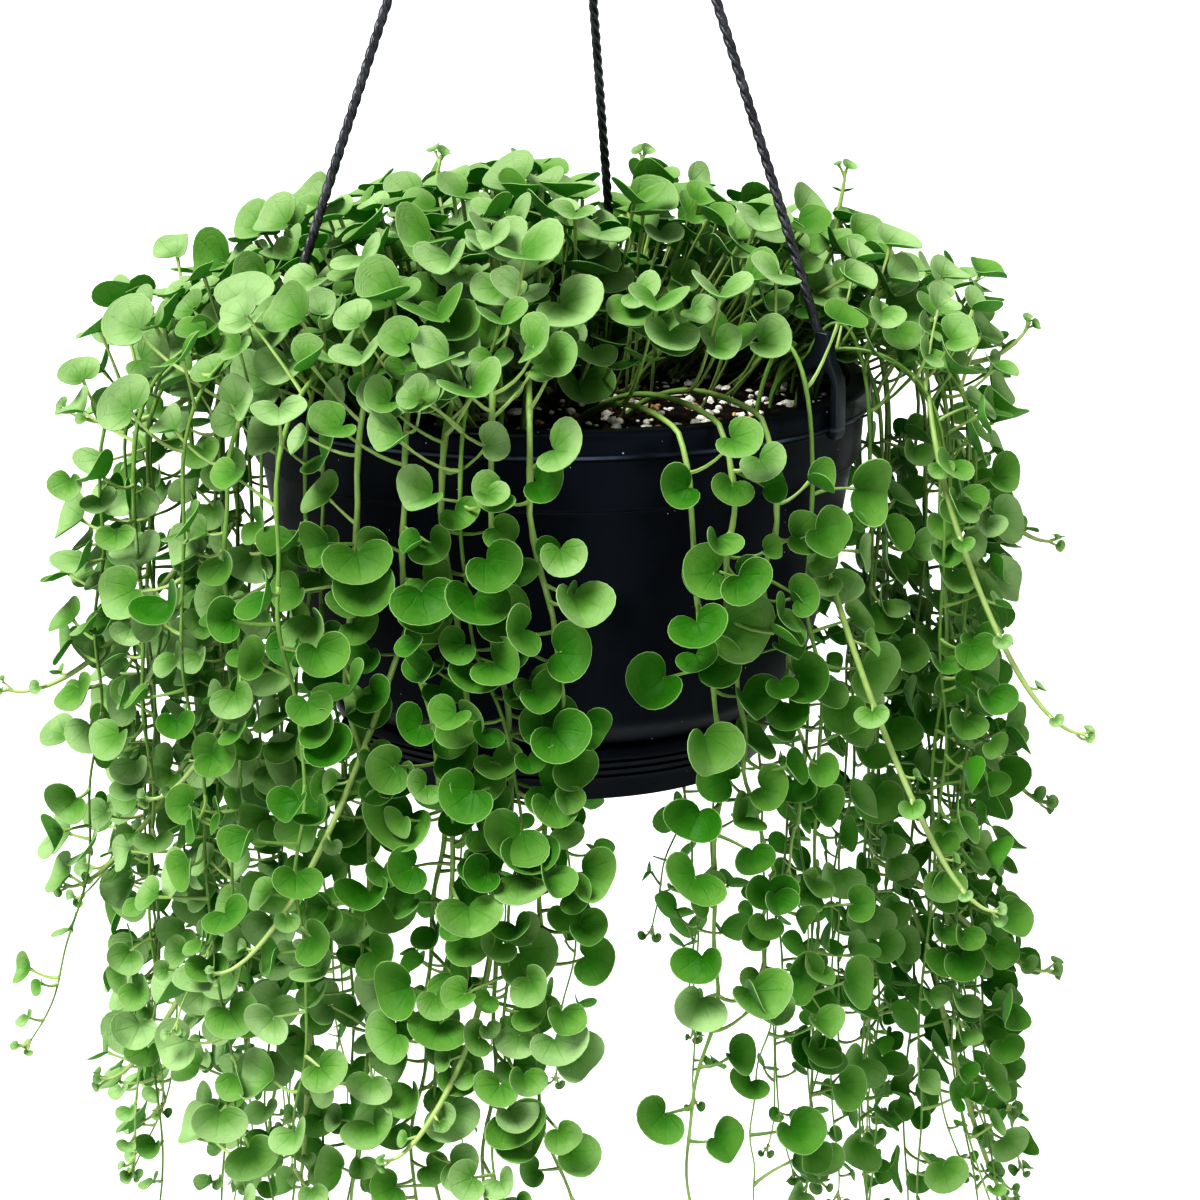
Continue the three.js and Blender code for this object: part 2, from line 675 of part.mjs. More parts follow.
// Finishes
const finish = (color, roughness) => new THREE.MeshStandardMaterial({ color, roughness, metalness: 0 });
const potPlastic = finish('#141518', 0.5);
const cordPlastic = finish('#1b1c1f', 0.45);
const pottingMix = finish('#2a1f19', 0.95);
const foliage = finish('#5fa247', 0.6);

// The scene graph: everything stands in the rim's frame, hung below the hook.
const basket = new THREE.Group();
const rimFrame = new THREE.Group();
rimFrame.position.z = -HANG_HEIGHT;
basket.add(rimFrame);

function addPart(name, solid, material) {
  const { vertProperties, triVerts } = solid.getMesh();
  const geometry = new THREE.BufferGeometry();
  geometry.setAttribute('position', new THREE.BufferAttribute(vertProperties, 3));
  geometry.setIndex(new THREE.BufferAttribute(triVerts, 1));
  geometry.computeVertexNormals();
  const mesh = new THREE.Mesh(geometry, material);
  mesh.name = name;
  rimFrame.add(mesh);
}

// The holder's strands, clips and crown core stand in the way of stems and leaves.
const strandAngles = Object.entries(STRAND_ANGLES).map(([side, degrees]) => [side, degrees * DEGREE]);
for (const [, azimuth] of strandAngles) {
  const [a, b] = [strandPoint(azimuth, 0), strandPoint(azimuth, 1)];
  capsules.push({ a, b, radius: STRAND_RADIUS + 2.2, stem: -2 });
  balls.push({ centre: polar(RIM_RADIUS - RIM_WIDTH / 2, azimuth, 8), radius: 17 });
}
const stems = placeStems();

addPart('pot', makePot(), potPlastic);
addPart('drip_tray', makeTray(), potPlastic);
const sockets = [{ place: [0, CORE.forward], radius: CORE.plug + GAP + 0.3, sides: 6 }];
for (const { points } of stems) {
  sockets.push({ place: points[0], radius: STEM_RADIUS + 0.8, sides: 3 });
}
addPart('potting_mix', makeMix(sockets), pottingMix);
for (const [side, azimuth] of strandAngles) {
  addPart(`clip_${side}`, makeClip(azimuth), potPlastic);
  addPart(`strand_${side}`, makeStrand(azimuth), cordPlastic);
}
addPart('hub_hook', makeHook(strandAngles.map(([, azimuth]) => azimuth)), potPlastic);

// The crown's middle: leaves on upright petioles that stand out of a low core.
function makeCrown() {
  const base = MIX_TOP + GAP;
  const dome = turned([
    [0, base],
    [CORE.radius, base],
    [CORE.radius * 0.9, base + CORE.height * 0.45],
    [CORE.radius * 0.55, base + CORE.height * 0.84],
    [0, base + CORE.height],
  ], 10);
  const plug = rod([[0, 0, MIX_TOP - ROOT_DEPTH], [0, 0, base + 4]], CORE.plug, CORE.plug, 6);
  let crown = dome.add(plug).translate([0, CORE.forward, 0]);
  const leaves = [];
  for (let k = 0; k < CROWN_LEAVES; k++) {
    const leaf = placeLeaf((attempt) => crownLeaf(k, attempt), 900);
    if (leaf) leaves.push(looseLeaf(leaf));
  }
  return wasm.Manifold.union([crown, ...leaves]);
}

addPart('crown', makeCrown(), foliage);
for (const { stem, stops } of stems) {
  const leaves = new Map();
  for (const [k, u] of stops.entries()) {
    leaves.set(u, placeLeaf((attempt) => stemLeaf(stem, k, u, attempt), stem.index));
  }
  const name = `stem_${String(stem.index + 1).padStart(2, '0')}`;
  addPart(name, leafyStem(stem, stops, leaves), foliage);
}

export default basket;
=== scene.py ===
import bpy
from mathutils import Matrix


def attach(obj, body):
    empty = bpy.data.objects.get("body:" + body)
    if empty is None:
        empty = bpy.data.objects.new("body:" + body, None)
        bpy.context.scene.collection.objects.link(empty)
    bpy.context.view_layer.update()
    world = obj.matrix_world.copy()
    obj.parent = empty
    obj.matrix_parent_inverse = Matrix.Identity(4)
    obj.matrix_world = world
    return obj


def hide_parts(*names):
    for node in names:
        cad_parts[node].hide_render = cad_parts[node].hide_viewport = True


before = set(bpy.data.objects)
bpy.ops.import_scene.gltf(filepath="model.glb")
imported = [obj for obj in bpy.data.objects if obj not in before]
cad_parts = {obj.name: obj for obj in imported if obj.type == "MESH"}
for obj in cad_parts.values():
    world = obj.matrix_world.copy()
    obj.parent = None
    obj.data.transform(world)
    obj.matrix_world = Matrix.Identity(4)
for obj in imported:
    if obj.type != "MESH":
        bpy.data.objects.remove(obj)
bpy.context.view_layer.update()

# A hanging basket of green falls dichondra: its finishes, fine meshes, light and view.
# Sizes are millimetres in the rim's frame, whose origin is the centre of the rim's top plane.
import logging
import math
from collections.abc import Callable, Iterator, Mapping, Sequence
from contextlib import contextmanager
from dataclasses import dataclass, field, replace
from enum import Enum
from itertools import pairwise

import bmesh
import bpy
import numpy as np
from mathutils import Vector, noise

LOG = logging.getLogger("dichondra_basket")

Point = tuple[float, float, float]
Colour = tuple[float, float, float, float]
Profile = list[tuple[float, float]]
Piece = bpy.types.Object
Finish = bpy.types.Material

MM = 0.001
HANG_HEIGHT = 360.0
DEGREE = math.pi / 180
GOLDEN_ANGLE = math.pi * (3 - math.sqrt(5))

RIM_RADIUS = 125.0
RIM_WIDTH = 10.0
BAND_HEIGHT = 9.4
WALL = 2.2
POT_DEPTH = 128.0
TRAY_RADIUS = 92.0
TRAY_HEIGHT = 24.0
TRAY_WALL = 2.0
GAP = 0.3
MIX_TOP = -6.0
STRAND_ANGLES = {"right": -33.4, "back": 78.3, "left": 208.3}
STRAND_RADII = (121.0, 7.0)
STRAND_HEIGHTS = (19.0, 312.0)
STRAND_BOW = 1.6
NOTCH_TO_CENTRE = 0.22

# Whole numbers that start the random draws of one purpose each.
NOBODY = -2
FIRST_FILLER = 200
CROWN, CROWN_STALK, CROWN_WIDTH = 900, 901, 902
MOUND, MOUND_TURN, MOUND_WIDTH = 950, 951, 952
HAND_PLACED, HAND_PLACED_AGE = 960, 961

# Whole numbers at which the keys of the blades' own shapes and tints begin.
TIP_KEYS, MOUND_KEYS, HAND_PLACED_KEYS = 3000, 5000, 6000
CROWN_KEYS, SHOOT_KEYS, SHOOT_TIP_KEYS = 7000, 8000, 9000


def place(point: Sequence[float]) -> Point:
    """A point of the rim's frame, in metres from the hook's bearing point."""
    return (point[0] * MM, point[1] * MM, (point[2] - HANG_HEIGHT) * MM)


def tone(red: int, green: int, blue: int) -> Colour:
    """A colour in scene light from its everyday 0 to 255 values."""
    linear = [((v / 255 + 0.055) / 1.055) ** 2.4 if v > 10 else v / 255 / 12.92 for v in (red, green, blue)]
    return (linear[0], linear[1], linear[2], 1.0)


def mix(a: float, b: float, t: float) -> float:
    """The value a share t of the way from a to b."""
    return a + (b - a) * t


def clamp(t: float) -> float:
    """The value kept between 0 and 1."""
    return min(1.0, max(0.0, t))


def smooth(t: float) -> float:
    """A smooth step from 0 to 1."""
    return clamp(t) ** 2 * (3 - 2 * clamp(t))


def plus(a: Point, b: Point, k: float = 1.0) -> Point:
    """The point a moved by k times b."""
    return (a[0] + k * b[0], a[1] + k * b[1], a[2] + k * b[2])


def dot(a: Point, b: Point) -> float:
    """The dot product."""
    return a[0] * b[0] + a[1] * b[1] + a[2] * b[2]


def cross(a: Point, b: Point) -> Point:
    """The cross product."""
    return (a[1] * b[2] - a[2] * b[1], a[2] * b[0] - a[0] * b[2], a[0] * b[1] - a[1] * b[0])


def unit(a: Point) -> Point:
    """The vector at length 1."""
    k = 1 / math.sqrt(dot(a, a))
    return (a[0] * k, a[1] * k, a[2] * k)


def blend(*terms: tuple[Point, float]) -> Point:
    """The sum of vectors, each times its weight."""
    total: Point = (0.0, 0.0, 0.0)
    for vector, weight in terms:
        total = plus(total, vector, weight)
    return total


UP: Point = (0.0, 0.0, 1.0)
FRONT: Point = (0.0, -1.0, 0.0)
EYE: Point = (0.0, -1280.0, 227.0)


def outward(azimuth: float) -> Point:
    """The level direction away from the axis."""
    return (math.cos(azimuth), math.sin(azimuth), 0.0)


def sideways(azimuth: float) -> Point:
    """The level direction round the axis."""
    return (-math.sin(azimuth), math.cos(azimuth), 0.0)


def polar(radius: float, azimuth: float, z: float) -> Point:
    """A point from its radius, azimuth and height."""
    return (radius * math.cos(azimuth), radius * math.sin(azimuth), z)


def strand_point(azimuth: float, t: float, bow: float = STRAND_BOW) -> Point:
    """A point of a strand's centre line, with t 0 at its clip and 1 at the hub."""
    radius = mix(*STRAND_RADII, t) + 4 * bow * t * (1 - t)
    return polar(radius, azimuth, mix(*STRAND_HEIGHTS, t))


def spin(angle: float) -> np.ndarray:
    """The matrix that turns rows of points round the axis."""
    along, over = math.cos(angle), math.sin(angle)
    return np.array([[along, over, 0], [-over, along, 0], [0, 0, 1]])


def draw(*keys: int) -> float:
    """A number from 0 to 1 that depends only on its whole-number keys."""
    word = 0xFFFFFFFF
    scramble = 0x9E3779B9
    for key in keys:
        scramble = ((scramble ^ ((key + 0x7F4A7C15) & word)) * 0x85EBCA6B) & word
        scramble ^= scramble >> 13
        scramble = (scramble * 0xC2B2AE35) & word
        scramble ^= scramble >> 16
    return scramble / 4294967296


def swing(*keys: int) -> float:
    """A number from -1 to 1 that depends only on its keys."""
    return 2 * draw(*keys) - 1


def segment_distance(a: Point, b: Point, c: Point, d: Point) -> float:
    """The shortest distance between the segments a-b and c-d."""
    u, v, w = plus(b, a, -1), plus(d, c, -1), plus(a, c, -1)
    uu, uv, vv, uw, vw = dot(u, u), dot(u, v), dot(v, v), dot(u, w), dot(v, w)
    slant = uu * vv - uv * uv
    s = clamp((uv * vw - vv * uw) / slant) if slant > 1e-9 else 0.0
    t = clamp((uv * s + vw) / vv) if vv > 1e-9 else 0.0
    s = clamp((uv * t - uw) / uu) if uu > 1e-9 else 0.0
    gap = plus(plus(w, u, s), v, -t)
    return math.sqrt(dot(gap, gap))


class Slot(Enum):
    """The record's material slots."""

    POT = "pot_plastic"
    CORD = "cord_plastic"
    MIX = "potting_mix"
    LEAF = "leaf"


class Wire:
    """One value that flows through a material and takes part in Python sums."""

    def __init__(self, graph: "ShaderGraph", socket: bpy.types.NodeSocket) -> None:
        """Keeps the graph and the output socket that the value comes from."""
        self.graph = graph
        self.socket = socket

    def _math(self, operation: str, first: "Wire | float", second: "Wire | float") -> "Wire":
        """A Math node on two numbers."""
        return self.graph.node("ShaderNodeMath", {"operation": operation}, {0: first, 1: second})

    def __add__(self, other: "Wire | float") -> "Wire":
        """The sum of both."""
        return self._math("ADD", self, other)

    __radd__ = __add__

    def __sub__(self, other: "Wire | float") -> "Wire":
        """This less the other."""
        return self._math("SUBTRACT", self, other)

    def __rsub__(self, other: "Wire | float") -> "Wire":
        """The other less this."""
        return self._math("SUBTRACT", other, self)

    def __mul__(self, other: "Wire | float") -> "Wire":
        """The product of both."""
        return self._math("MULTIPLY", self, other)

    __rmul__ = __mul__

    def step(self, low: float, high: float) -> "Wire":
        """A smooth step.

        Args:
            low: The value where the step is 0.
            high: The value where the step is 1; it may be the lower one.

        Returns:
            A value from 0 to 1.
        """
        settings = {"interpolation_type": "SMOOTHSTEP"}
        if low < high:
            return self.graph.node("ShaderNodeMapRange", settings, {0: self, 1: low, 2: high})
        return self.graph.node("ShaderNodeMapRange", settings, {0: self, 1: high, 2: low, 3: 1.0, 4: 0.0})


class ShaderGraph:
    """A material under construction."""

    def __init__(self, name: str) -> None:
        """Starts an empty node tree."""
        self.material = bpy.data.materials.new(name)
        self.material.use_nodes = True
        self.tree = self.material.node_tree
        self.tree.nodes.clear()

    def node(
        self,
        kind: str,
        settings: Mapping[str, object] | None = None,
        inputs: Mapping[int | str, object] | None = None,
        output: int | str = 0,
    ) -> Wire:
        """Adds any node.

        Args:
            kind: The node's type.
            settings: Its properties; stops gives a colour ramp's positions and colours.
            inputs: Values or wires by socket.
            output: The socket that the returned wire comes from.

        Returns:
            The wire of one output.
        """
        made = self.tree.nodes.new(kind)
        for key, value in (settings or {}).items():
            if key == "stops":
                ramp = made.color_ramp
                for element, (position, colour) in zip(ramp.elements, value):
                    element.position = position
                    element.color = colour
                for position, colour in value[len(ramp.elements):]:
                    ramp.elements.new(position).color = colour
            else:
                setattr(made, key, value)
        for key, value in (inputs or {}).items():
            if isinstance(value, Wire):
                self.tree.links.new(value.socket, made.inputs[key])
            else:
                made.inputs[key].default_value = value
        return Wire(self, made.outputs[output])

    def point(self, stretch: Point = (1.0, 1.0, 1.0)) -> Wire:
        """Object coordinates, with each axis multiplied by its stretch."""
        here = self.node("ShaderNodeTexCoord", output="Object")
        return self.node("ShaderNodeVectorMath", {"operation": "MULTIPLY"}, {0: here, 1: stretch})

    def part(self, whole: Wire, name: str) -> Wire:
        """One part of a vector or colour: X, Y, Z, Red, Green or Blue."""
        kind = "ShaderNodeSeparateXYZ" if name in ("X", "Y", "Z") else "ShaderNodeSeparateColor"
        return self.node(kind, inputs={0: whole}, output=name)

    def tint(self, output: str = "Color") -> Wire:
        """The mesh's tint attribute."""
        return self.node("ShaderNodeAttribute", {"attribute_name": "tint"}, output=output)

    def ramp(self, value: Wire, half: float, low: Colour, middle: Colour, high: Colour) -> Wire:
        """A colour that goes from low, through middle where the value is half, to high."""
        stops = [(0.0, low), (half, middle), (1.0, high)]
        return self.node("ShaderNodeValToRGB", {"stops": stops}, {0: value})

    def noise(self, scale: float, detail: float = 2.0, vector: Wire | None = None) -> Wire:
        """A noise value about 0.5, with its scale in cells to the metre."""
        settings = {"Vector": vector or self.point(), "Scale": scale, "Detail": detail}
        return self.node("ShaderNodeTexNoise", inputs=settings)

    def specks(self, spacing: float, size: float, share: float) -> Wire:
        """Small round specks scattered over a surface.

        Args:
            spacing: Metres between the cells that may hold a speck.
            size: A speck's radius in metres.
            share: The share of cells that hold one.

        Returns:
            A mask of the specks.
        """
        inputs = {"Vector": self.point(), "Scale": 1 / spacing}
        near = self.node("ShaderNodeTexVoronoi", {}, inputs, "Distance")
        chance = self.node("ShaderNodeTexVoronoi", {}, inputs, "Color")
        spots = near.step(size / spacing, 0.5 * size / spacing)
        return spots * self.part(chance, "Red").step(1 - share, 1 - 0.9 * share)

    def blend(self, factor: "Wire | float", first: "Wire | Colour", second: "Wire | Colour") -> Wire:
        """A colour between two, the first where the factor is 0."""
        return self.node("ShaderNodeMix", {"data_type": "RGBA"}, {0: factor, 6: first, 7: second}, 2)

    def bump(self, height: Wire, distance: float, strength: float = 1.0) -> Wire:
        """A bumped normal from a height map, with its full height in metres."""
        inputs = {"Height": height, "Distance": distance, "Strength": strength}
        return self.node("ShaderNodeBump", inputs=inputs)

    def surface(self, **sockets: object) -> Wire:
        """A Principled shader; socket names are written with underscores."""
        named = {key.replace("_", " "): value for key, value in sockets.items()}
        return self.node("ShaderNodeBsdfPrincipled", inputs=named)

    def finish(self, shader: Wire) -> Finish:
        """Links a shader to the output and returns the material."""
        output = self.tree.nodes.new("ShaderNodeOutputMaterial")
        self.tree.links.new(shader.socket, output.inputs["Surface"])
        return self.material


@dataclass(frozen=True)
class PotPlastic:
    """Black moulded plastic: a faint skin, cloudy gloss, streaks, pale dust and a painted highlight line
    round the bead at the band's foot.
    """

    name: str = "pot_plastic"
    colour: Colour = tone(10, 13, 21)
    worn_and_shaded: Colour = tone(21, 27, 39)
    gloss: float = 0.15
    bead: Colour = tone(84, 94, 108)
    # The colour of the painted highlight line round the bead at the band's foot.
    dust: Colour = tone(206, 210, 212)
    sheen: Colour = (0.72, 0.84, 1.0, 1.0)

    def build(self) -> Finish:
        """Makes the material."""
        graph = ShaderGraph(self.name)
        streaks = graph.noise(160.0, 3.0, graph.point((1.0, 1.0, 0.08)))
        clouds = graph.noise(22.0, 3.0)
        worn_and_shaded = graph.blend((streaks * clouds).step(0.22, 0.5) * 0.45, self.colour, self.worn_and_shaded)
        dusty = graph.noise(45.0, 2.0).step(0.5, 0.62)
        speck = (graph.specks(0.0024, 0.0003, 0.2) * dusty + graph.specks(0.006, 0.0004, 0.2)).step(0.0, 0.9)
        # Painted highlight: a thin lighter line round the bead at the band's foot, broken up by the clouds.
        above_bead = graph.part(graph.point(), "Z") + (BAND_HEIGHT + HANG_HEIGHT) * MM
        bead_highlight_mask = graph.node("ShaderNodeMath", {"operation": "ABSOLUTE"}, {0: above_bead})
        with_bead_highlight = graph.blend(bead_highlight_mask.step(0.0009, 0.0003) * clouds.step(0.3, 0.6), worn_and_shaded, self.bead)
        base = graph.blend(speck * 0.85, with_bead_highlight, self.dust)
        skin = graph.noise(1500.0, 2.0) * 0.6 + graph.noise(90.0, 3.0)
        rough = 0.28 + clouds * 0.18 + speck * 0.3
        return graph.finish(graph.surface(
            Base_Color=base, Roughness=rough, Normal=graph.bump(skin, 0.00012),
            Specular_IOR_Level=self.gloss, Specular_Tint=self.sheen,
        ))


@dataclass(frozen=True)
class CordPlastic:
    """Charcoal twisted cord: semi-gloss, with a painted highlight of paler grey in noise streaks that stands
    in for the light on the raised plies.
    """

    colour: Colour = tone(25, 26, 30)
    ply_highlight: Colour = tone(78, 80, 86)

    def build(self) -> Finish:
        """Makes the material."""
        graph = ShaderGraph("cord_plastic")
        fibre = graph.noise(1900.0, 2.0, graph.point((1.0, 1.0, 0.25)))
        wear_and_highlight = graph.noise(130.0, 3.0)
        # Painted highlight: paler grey where the fibre and patch noises are both high; it does not follow the
        # plies' shape.
        base = graph.blend((fibre * wear_and_highlight).step(0.2, 0.42) * 0.7, self.colour, self.ply_highlight)
        normal = graph.bump(fibre, 0.0002)
        return graph.finish(graph.surface(Base_Color=base, Roughness=0.3 + wear_and_highlight * 0.2, Normal=normal))


@dataclass(frozen=True)
class MixEarth:
    """Dark moist potting mix with reddish fibres and lighter crumbs."""

    dark: Colour = tone(13, 9, 7)
    brown: Colour = tone(42, 27, 19)
    crumb: Colour = tone(106, 80, 56)

    def build(self) -> Finish:
        """Makes the material."""
        graph = ShaderGraph("potting_mix")
        lumps = graph.noise(260.0, 5.0)
        fibres = graph.noise(620.0, 3.0, graph.point((1.0, 0.3, 1.0)))
        earth = graph.blend(lumps.step(0.46, 0.72), self.dark, self.brown)
        crumbs = graph.specks(0.0032, 0.0007, 0.12)
        base = graph.blend(crumbs * 0.8, earth, self.crumb)
        normal = graph.bump(lumps + fibres * 0.5, 0.0022)
        rough = 0.82 + fibres * 0.15
        shader = graph.surface(Base_Color=base, Roughness=rough, Normal=normal, Specular_IOR_Level=0.15)
        return graph.finish(shader)


@dataclass(frozen=True)
class Granule:
    """A stony or woody crumb: two tones broken up by noise, the shade tone also lying in the bump's low pits
    as painted shade.
    """

    name: str
    light: Colour
    shade: Colour
    grain: float = 900.0

    def build(self) -> Finish:
        """Makes the material."""
        graph = ShaderGraph(self.name)
        pits = graph.noise(self.grain, 4.0)
        patches = graph.noise(self.grain / 5, 2.0)
        # The shade tone falls where the bump is low, as painted shade in the pits, and where the larger
        # patches are low, as a real second tone.
        base = graph.blend(pits.step(0.38, 0.6) * patches.step(0.25, 0.55), self.shade, self.light)
        return graph.finish(graph.surface(Base_Color=base, Roughness=0.9, Normal=graph.bump(pits, 0.0004)))


@dataclass(frozen=True)
class LeafSkin:
    """A matte leaf blade: sage where young, deep green where old and in painted shade, lighter on the lobes
    as a painted highlight, darker at the notch partly as painted shade, with a thin pale margin that is
    partly a painted highlight.

    The tint attribute holds how old the leaf looks with its painted shade, chance and closeness to the
    margin, and its alpha is 1 on the underside. The blade's UV map holds its place in leaf widths, with the
    notch at the origin.
    """

    sage: Colour = tone(160, 188, 132)
    fresh: Colour = tone(108, 150, 70)
    deep: Colour = tone(50, 108, 14)
    under: Colour = tone(78, 142, 34)
    margin: Colour = tone(182, 204, 152)
    glow: Colour = tone(92, 196, 4)

    def build(self) -> Finish:
        """Makes the material."""
        graph = ShaderGraph("leaf")
        tint, under = graph.tint(), graph.tint("Alpha")
        age, chance, edge = (graph.part(tint, name) for name in ("Red", "Green", "Blue"))
        blade = graph.node("ShaderNodeUVMap", {"uv_map": "blade"})
        across, along = graph.part(blade, "X"), graph.part(blade, "Y")
        angle = graph.node("ShaderNodeMath", {"operation": "ARCTAN2"}, {0: across, 1: along + 0.04})
        reach = graph.node("ShaderNodeVectorMath", {"operation": "LENGTH"}, {0: blade}, "Value")
        own = graph.node("ShaderNodeVectorMath", {"operation": "ADD"}, {0: blade, 1: tint})
        wobble = graph.noise(9.0, 2.0, own)
        turns = angle * 1.35 + wobble * 0.24 + 9.88
        fan = graph.node("ShaderNodeMath", {"operation": "PINGPONG"}, {0: turns, 1: 0.5})
        vein = fan.step(0.1, 0.0) * reach.step(0.02, 0.12) * reach.step(0.62, 0.3)
        cloud = graph.noise(34.0, 3.0)
        # Painted highlight: the blade lightens towards its outer lobes, where a cupped leaf catches the
        # light.
        lobe_highlight = reach.step(0.12, 0.56) * 0.3
        # The ramp's place: how old the leaf looks with its painted shade, random tone and mottle, less the
        # lobes' painted highlight.
        worn_and_shaded = age + (chance - 0.5) * 0.3 + (cloud - 0.5) * 0.5 + (wobble - 0.5) * 0.25 + 0.14 - lobe_highlight
        green = graph.ramp(worn_and_shaded, 0.45, self.sage, self.fresh, self.deep)
        # Deeper green round the notch: partly the leaf's own darker base, partly painted shade in the funnel.
        notch_green_and_shade = graph.blend(reach.step(0.42, 0.02) * 0.5, green, self.deep)
        veined = graph.blend(vein * 0.13, notch_green_and_shade, self.deep)
        # Pale line at the outline: partly the margin's own paler green, partly a painted highlight where the
        # edge catches the light.
        upper = graph.blend(edge.step(0.92, 1.0) * 0.7, veined, self.margin)
        base = graph.blend(under * 0.72, upper, self.under)
        relief = graph.noise(2600.0, 2.0) * 0.35 - vein * 0.5 + wobble
        rough = 0.47 + (1 - age) * 0.12 + cloud * 0.08
        top = graph.surface(
            Base_Color=base, Roughness=rough, Normal=graph.bump(relief, 0.00025), Specular_IOR_Level=0.2,
            Sheen_Weight=0.14, Sheen_Roughness=0.4,
        )
        through = graph.node("ShaderNodeBsdfTranslucent", inputs={"Color": self.glow})
        return graph.finish(graph.node("ShaderNodeMixShader", inputs={0: 0.32, 1: top, 2: through}))


@dataclass(frozen=True)
class StemSkin:
    """Pale yellow-green stems and petioles, olive in the shade and where they are old."""

    pale: Colour = tone(158, 176, 112)
    green: Colour = tone(110, 144, 68)
    olive: Colour = tone(70, 104, 34)

    def build(self) -> Finish:
        """Makes the material."""
        graph = ShaderGraph("stem")
        age = graph.part(graph.tint(), "Red")
        bands = graph.noise(180.0, 3.0)
        ridges = graph.noise(1400.0, 2.0, graph.point((1.0, 1.0, 0.15)))
        base = graph.ramp(age + (bands - 0.5) * 0.5, 0.5, self.pale, self.green, self.olive)
        normal = graph.bump(ridges, 0.00018)
        return graph.finish(graph.surface(Base_Color=base, Roughness=0.42 + bands * 0.16, Normal=normal))


@dataclass(frozen=True)
class FloorPaint:
    """The plain pale floor under the basket."""

    colour: Colour = (0.66, 0.665, 0.67, 1.0)

    def build(self) -> Finish:
        """Makes the material."""
        graph = ShaderGraph("pale_floor")
        rough = 0.8 + graph.noise(3.0) * 0.1
        return graph.finish(graph.surface(Base_Color=self.colour, Roughness=rough, Specular_IOR_Level=0.1))


